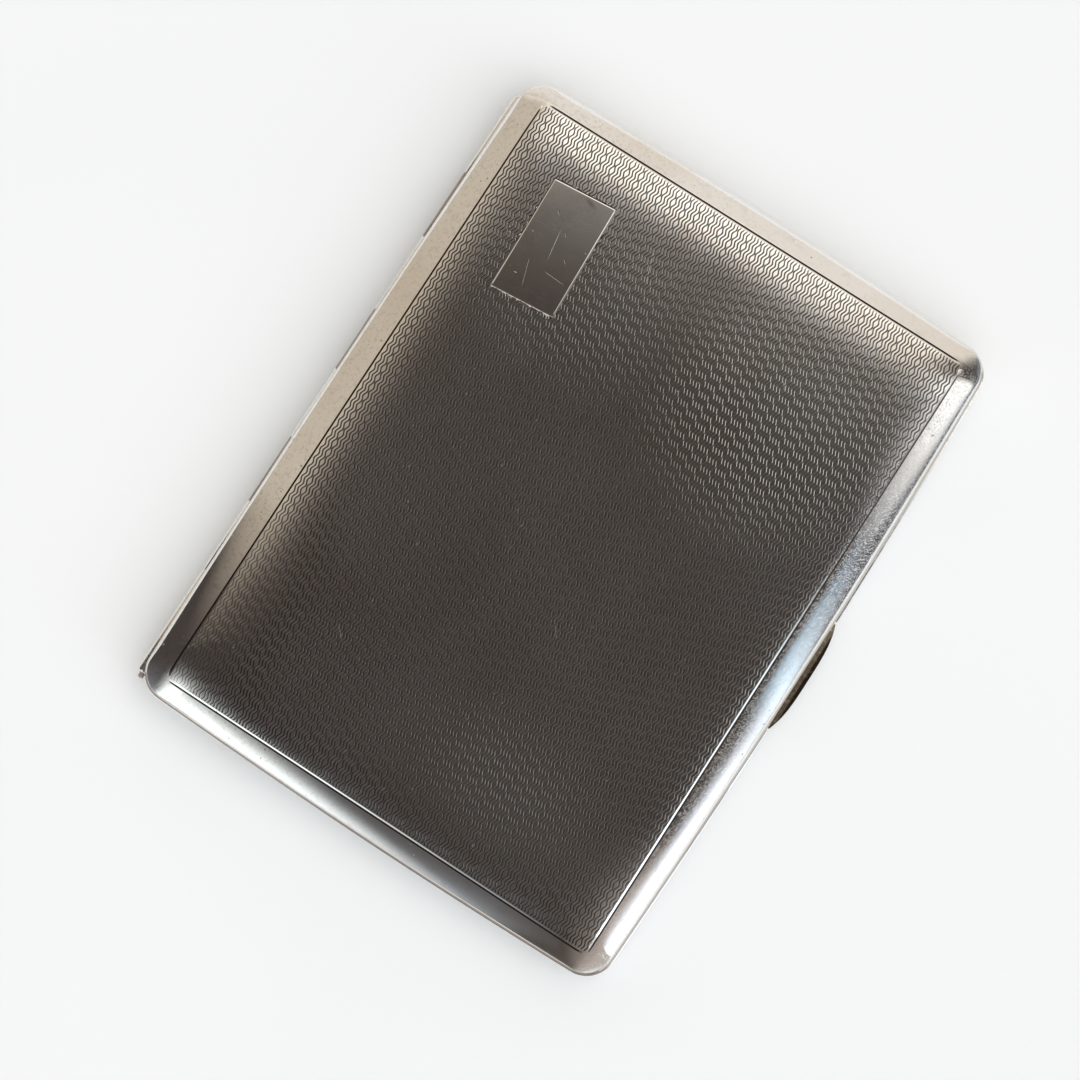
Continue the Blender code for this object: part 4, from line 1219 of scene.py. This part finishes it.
def leaf():
    """Spring strip from its block to the back of the catch."""
    build = Build()
    ys = np.linspace(-26.0, 4.4, 61)
    bend = smoothstep(ys, -20.0, -2.0)
    x_out = HALF_W - 2.62 + 0.05 * bend - 0.10 * np.sin(np.pi * np.clip((ys + 19.0) / 21.0, 0, 1))
    loops = []
    for x, y in zip(x_out, ys):
        taper = 0.12 * smoothstep(y, -18.0, 4.0)
        low, high, t = 3.5 + taper, 5.3 - taper, 0.24
        loops.append(build.add([(x + SHIFT_X, y, low), (x + SHIFT_X, y, high),
                                (x - t + SHIFT_X, y, high), (x - t + SHIFT_X, y, low)]))
    for a, b in zip(loops, loops[1:]):
        build.band(a, b)
    build.poly(np.array([loops[0][::-1]]))
    build.poly(np.array([loops[-1]]))
    return fix_normals(build.mesh("catch_spring_leaf", smooth=35.0))


leaf_obj = bpy.data.objects.new("catch_spring_leaf", leaf())
bpy.context.scene.collection.objects.link(leaf_obj)
leaf_obj.data.materials.append(STEEL)
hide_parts("catch_spring")
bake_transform(leaf_obj)

for number, y in enumerate((-24.4, -21.1), 1):
    dome = [(0.004, -0.36)] + [(0.80 * math.sin(a), -0.36 * math.cos(a))
                               for a in np.linspace(0.25, math.pi / 2, 8)]
    dome += [(0.34, 0.0), (0.34, 1.0), (0.004, 1.0)]
    new_object("spring_rivet_%d_head" % number,
               lathe("spring_rivet_%d_head" % number, dome,
                     (HALF_W - 2.87 + SHIFT_X, y, 4.4), "X", 28, 50.0),
               [SILVER_DARK], "base", ["spring_rivet_%d" % number])


# ------------------------------------------------------ elastics and keepers
def keeper_path(side, up):
    z_bar = THICK - BAND_Z if up else BAND_Z
    s = -1.0 if up else 1.0
    foot = z_bar - s * 1.95
    half, bend = BAND_HALF + 0.85, 0.75
    pts = [(-half, foot), (-half, z_bar - s * (bend + 0.3))]
    for i in range(0, 9):
        a = math.pi / 2 * i / 8
        pts.append((-half + bend * (1 - math.cos(a)), z_bar - s * bend * (1 - math.sin(a))))
    pts += [(-x, z) for x, z in reversed(pts)]
    return [(x + SHIFT_X, side * BAR_Y, z) for x, z in pts]


def ribbon(name, up):
    """Woven elastic: ribbed strip with a sewn loop at each end."""
    z_mid = THICK - BAND_Z if up else BAND_Z
    r_mid = (LOOP_RI + LOOP_RO) / 2.0 - 0.06
    half_t = 0.28
    # centre line of one face's path: along the band, round the bar, and back
    neck = BAR_Y - 6.5
    ys = np.arange(-neck, neck + 1e-6, 0.21)
    loops_c = []
    lean = math.asin((r_mid - 0.16) / (BAR_Y - neck))
    for i in range(33):
        a = -(math.pi / 2 + lean) + (math.pi + 2 * lean) * i / 32.0
        loops_c.append((BAR_Y + r_mid * math.cos(a), r_mid * math.sin(a)))
    straight_out = np.stack([np.linspace(neck, loops_c[0][0], 14, endpoint=False),
                             np.linspace(-0.16, loops_c[0][1], 14, endpoint=False)], 1)
    back = np.stack([np.linspace(loops_c[-1][0], neck - 1.6, 18),
                     np.linspace(loops_c[-1][1], 0.30, 18)], 1)
    end = np.concatenate([straight_out, np.array(loops_c), back[1:]])
    middle = np.stack([ys, np.full(len(ys), -0.16)], 1)
    left = end[::-1] * np.array([-1.0, 1.0])
    line = np.concatenate([left, middle[1:-1], end])
    # even steps, two to a rib
    seg = np.hypot(*np.diff(line, axis=0).T)
    arc = np.concatenate([[0], np.cumsum(seg)])
    n = int(arc[-1] / 0.21)
    s = np.linspace(0, arc[-1], n + 1)
    cy, cz = np.interp(s, arc, line[:, 0]), np.interp(s, arc, line[:, 1])
    ty, tz = np.gradient(cy), np.gradient(cz)
    norm = np.hypot(ty, tz)
    ty, tz = ty / norm, tz / norm
    build = Build()
    cols = np.linspace(-1, 1, 21)
    across = BAND_HALF * cols
    rib = np.where(np.arange(n + 1) % 2 == 0, 0.035, -0.035)
    rng = np.random.default_rng(11)
    waver = 0.06 * np.sin(s * 0.9) + 0.04 * np.sin(s * 2.3 + 1.0)
    top, bot = [], []
    for k in range(n + 1):
        edge = 1.0 - np.abs(cols) ** 14
        thick = (half_t * (0.35 + 0.65 * edge)) + rib[k] * edge
        half = 1.0 + 0.012 * rib[k] / 0.035
        dx = across * half + waver[k] * (np.abs(cols) > 0.99) * 0.3
        for out, group in ((1.0, top), (-1.0, bot)):
            y = cy[k] - out * tz[k] * thick
            z = cz[k] + out * ty[k] * thick
            sgn = -1.0 if up else 1.0
            group.append(build.add(np.stack([dx + SHIFT_X, y * np.ones_like(dx),
                                             z_mid + sgn * z], 1)))
    for a, b in zip(top, top[1:]):
        build.band(a, b, closed=False)
    for a, b in zip(bot, bot[1:]):
        build.band(a, b, closed=False, flip=True)
    for k in range(n):
        build.poly([[top[k][0], top[k + 1][0], bot[k + 1][0], bot[k][0]]])
        build.poly([[top[k][-1], bot[k][-1], bot[k + 1][-1], top[k + 1][-1]]])
    for k in (0, n):
        for i in range(len(cols) - 1):
            build.poly([[top[k][i], top[k][i + 1], bot[k][i + 1], bot[k][i]]])
    mesh = fix_normals(build.mesh(name, smooth=60.0))
    return mesh, arc[-1]


for half, up in (("base", False), ("lid", True)):
    for number, side in ((1, 1.0), (2, -1.0)):
        node = "%s_keeper_%d" % (half, number)
        new_object(node + "_wire", tube(node + "_wire", keeper_path(side, up), WIRE_R), [GILT],
                   half, [node])
    mesh, run = ribbon("%s_elastic_ribbon" % half, up)
    band = new_object("%s_elastic_ribbon" % half, mesh, [WEBBING], half,
                      ["%s_elastic" % half])

# --------------------------------------------------------------------- stage
floor_graph = Graph("floor")
fpos = floor_graph.mm()
soft = floor_graph.noise(fpos, 0.012, detail=2.0)
floor_mat = floor_graph.surface(
    floor_graph.mix(floor_graph.ramp(soft, 0.3, 0.7), (0.875, 0.872, 0.868), (0.86, 0.858, 0.855)),
    0.55, metallic=0.0)
bpy.ops.mesh.primitive_plane_add(size=8.0, location=(0, 0, -0.00002))
floor = bpy.context.object
floor.name = "floor"
floor.data.materials.append(floor_mat)


def studio():
    """Soft cards and walls round a dark overhead. Each is a colour with soft
    straight sides or a soft oval, laid over the ones before it; u and v are
    the direction's sideways parts, 0 overhead and 1 at the horizon."""
    g = Graph("studio", world=True)
    coord = g.tree.nodes.new("ShaderNodeTexCoord")
    sep = g.tree.nodes.new("ShaderNodeSeparateXYZ")
    g.link(coord.outputs["Generated"], sep.inputs[0])
    x, y, z = sep.outputs
    depth = g.math("MAXIMUM", g.math("ADD", z, 1.0), 0.05)
    u, v = g.math("DIVIDE", x, depth), g.math("DIVIDE", y, depth)

    def side(a, b, lo, hi):
        """Soft step across the line a*u + b*v, from 0 at lo to 1 at hi."""
        along = g.math("ADD", g.math("MULTIPLY", u, a), g.math("MULTIPLY", v, b))
        return g.ramp(along, lo, hi)

    def oval(cu, cv, ru, rv, angle, core):
        c, s = math.cos(angle), math.sin(angle)
        du, dv = g.math("SUBTRACT", u, cu), g.math("SUBTRACT", v, cv)
        p = g.math("ADD", g.math("MULTIPLY", du, c / ru), g.math("MULTIPLY", dv, s / ru))
        q = g.math("ADD", g.math("MULTIPLY", du, -s / rv), g.math("MULTIPLY", dv, c / rv))
        far = g.math("SQRT", g.math("ADD", g.math("MULTIPLY", p, p), g.math("MULTIPLY", q, q)))
        return g.ramp(far, 1.0, core)

    reach = g.math("SQRT", g.math("ADD", g.math("MULTIPLY", u, u), g.math("MULTIPLY", v, v)))

    def ring(lo, hi):
        return g.ramp(reach, lo, hi)

    room = (0.060, 0.050, 0.046)
    cards = (
        # the thumbpiece side
        ((0.476, 0.424, 0.395), [side(1, 0, -0.029, 0.416), side(0, 1, -0.013, -0.039)]),
        ((0.828, 1.208, 1.551), [side(1, 0, 0.260, 0.406), side(0, 1, 0.016, 0.044),
                                 side(0, 1, 0.090, 0.011)]),
        ((1.243, 1.239, 1.223), [oval(0.449, 0.184, 0.489, 0.114, 0.099, 0.426)]),
        ((0.360, 0.518, 0.612), [side(0.7, 0.7, 0.443, 1.866)]),
        # pale walls at the top end and the hinge side
        ((1.274, 1.203, 1.092), [side(0, 1, 0.067, 0.198), side(1, -0.35, 0.161, -0.198)]),
        ((0.806, 0.754, 0.690), [side(0, 1, 0.409, 0.448), side(1, -0.35, 0.290, -0.176)]),
        ((0.559, 0.490, 0.404), [side(-1, 0, 0.049, 0.333), side(0, 1, -0.047, 0.013),
                                 side(0, 1, 0.619, 0.291)]),
        # light cards on the lower side
        ((1.800, 1.911, 1.893), [side(-8, -1, 0.700, 1.936), side(0, -1, 0.089, 0.300),
                                 side(-1, 0.25, 0.305, -0.038)]),
        ((0.464, 0.460, 0.384), [side(-0.5, -0.7, 0.697, 0.791)]),
        ((0.923, 1.030, 1.051), [side(0.75, -0.65, 0.658, 0.817), side(0, -1, 0.295, 0.701)]),
        ((0.578, 0.643, 0.718), [side(0, -1, -0.006, 2.026), side(-1, 0, -0.041, -0.002)]),
        # the key card
        ((2.810, 3.079, 3.503), [side(1, 2.2, 0.024, 0.136), side(0, -1, 0.157, 0.140),
                                 side(1, 0, 0.314, 0.757), side(0, 1, 0.109, -0.118)]),
        # dim horizon at the front and the lower end
        ((0.073, 0.081, 0.095), [ring(0.950, 1.007), side(1, 0, 0.638, 0.825)]),
        ((0.213, 0.244, 0.245), [ring(0.854, 1.160), side(0, -1, 0.351, 0.602),
                                 side(1, 0, -0.586, -0.273)]),
    )
    total = room + (1.0,)
    for color, parts in cards:
        mask = parts[0]
        for part in parts[1:]:
            mask = g.math("MULTIPLY", mask, part)
        total = g.mix(mask, total, color)
    back = g.tree.nodes.new("ShaderNodeBackground")
    g.link(total, back.inputs["Color"])
    plain = g.tree.nodes.new("ShaderNodeBackground")
    plain.inputs["Color"].default_value = (0.86, 0.86, 0.86, 1.0)
    path = g.tree.nodes.new("ShaderNodeLightPath")
    both = g.tree.nodes.new("ShaderNodeMixShader")
    g.link(path.outputs["Is Camera Ray"], both.inputs[0])
    g.link(back.outputs[0], both.inputs[1])
    g.link(plain.outputs[0], both.inputs[2])
    out = g.tree.nodes.new("ShaderNodeOutputWorld")
    g.link(both.outputs[0], out.inputs["Surface"])
    bpy.context.scene.world = g.owner

    # a very broad soft light from the thumbpiece side for the table
    data = bpy.data.lights.new("broad", "SUN")
    data.energy, data.angle, data.color = 2.32, math.radians(95), (0.915, 0.965, 1.00)
    broad = bpy.data.objects.new("broad", data)
    bpy.context.scene.collection.objects.link(broad)
    broad.rotation_euler = Vector((0.54, -0.14, 1.0)).to_track_quat("Z", "Y").to_euler()
    broad.visible_glossy = False


studio()

scene = bpy.context.scene
scene.view_settings.view_transform = "Standard"
scene.view_settings.look = "None"
scene.view_settings.exposure = 0.0

# camera at the photograph's angle
cam_data = bpy.data.cameras.new("camera")
cam_data.sensor_width = 36.0
cam_data.lens = 2200.0 / 1080.0 * 36.0
cam_data.clip_start, cam_data.clip_end = 0.01, 50.0
cam = bpy.data.objects.new("camera", cam_data)
scene.collection.objects.link(cam)
right = Vector((0.83850105, 0.54400499, -0.03121798))
down = Vector((0.54017919, -0.83739636, -0.08350909))
ahead = Vector((-0.07157119, 0.05315916, -0.99601791))
up_v, back_v = -down, -ahead
rot = Matrix((right, up_v, back_v)).transposed()
cam.matrix_world = Matrix.Translation(Vector(((21.37621117 + SHIFT_X) * MM, -21.2826259 * MM,
                                              328.60696233 * MM))) @ rot.to_4x4()
scene.camera = cam
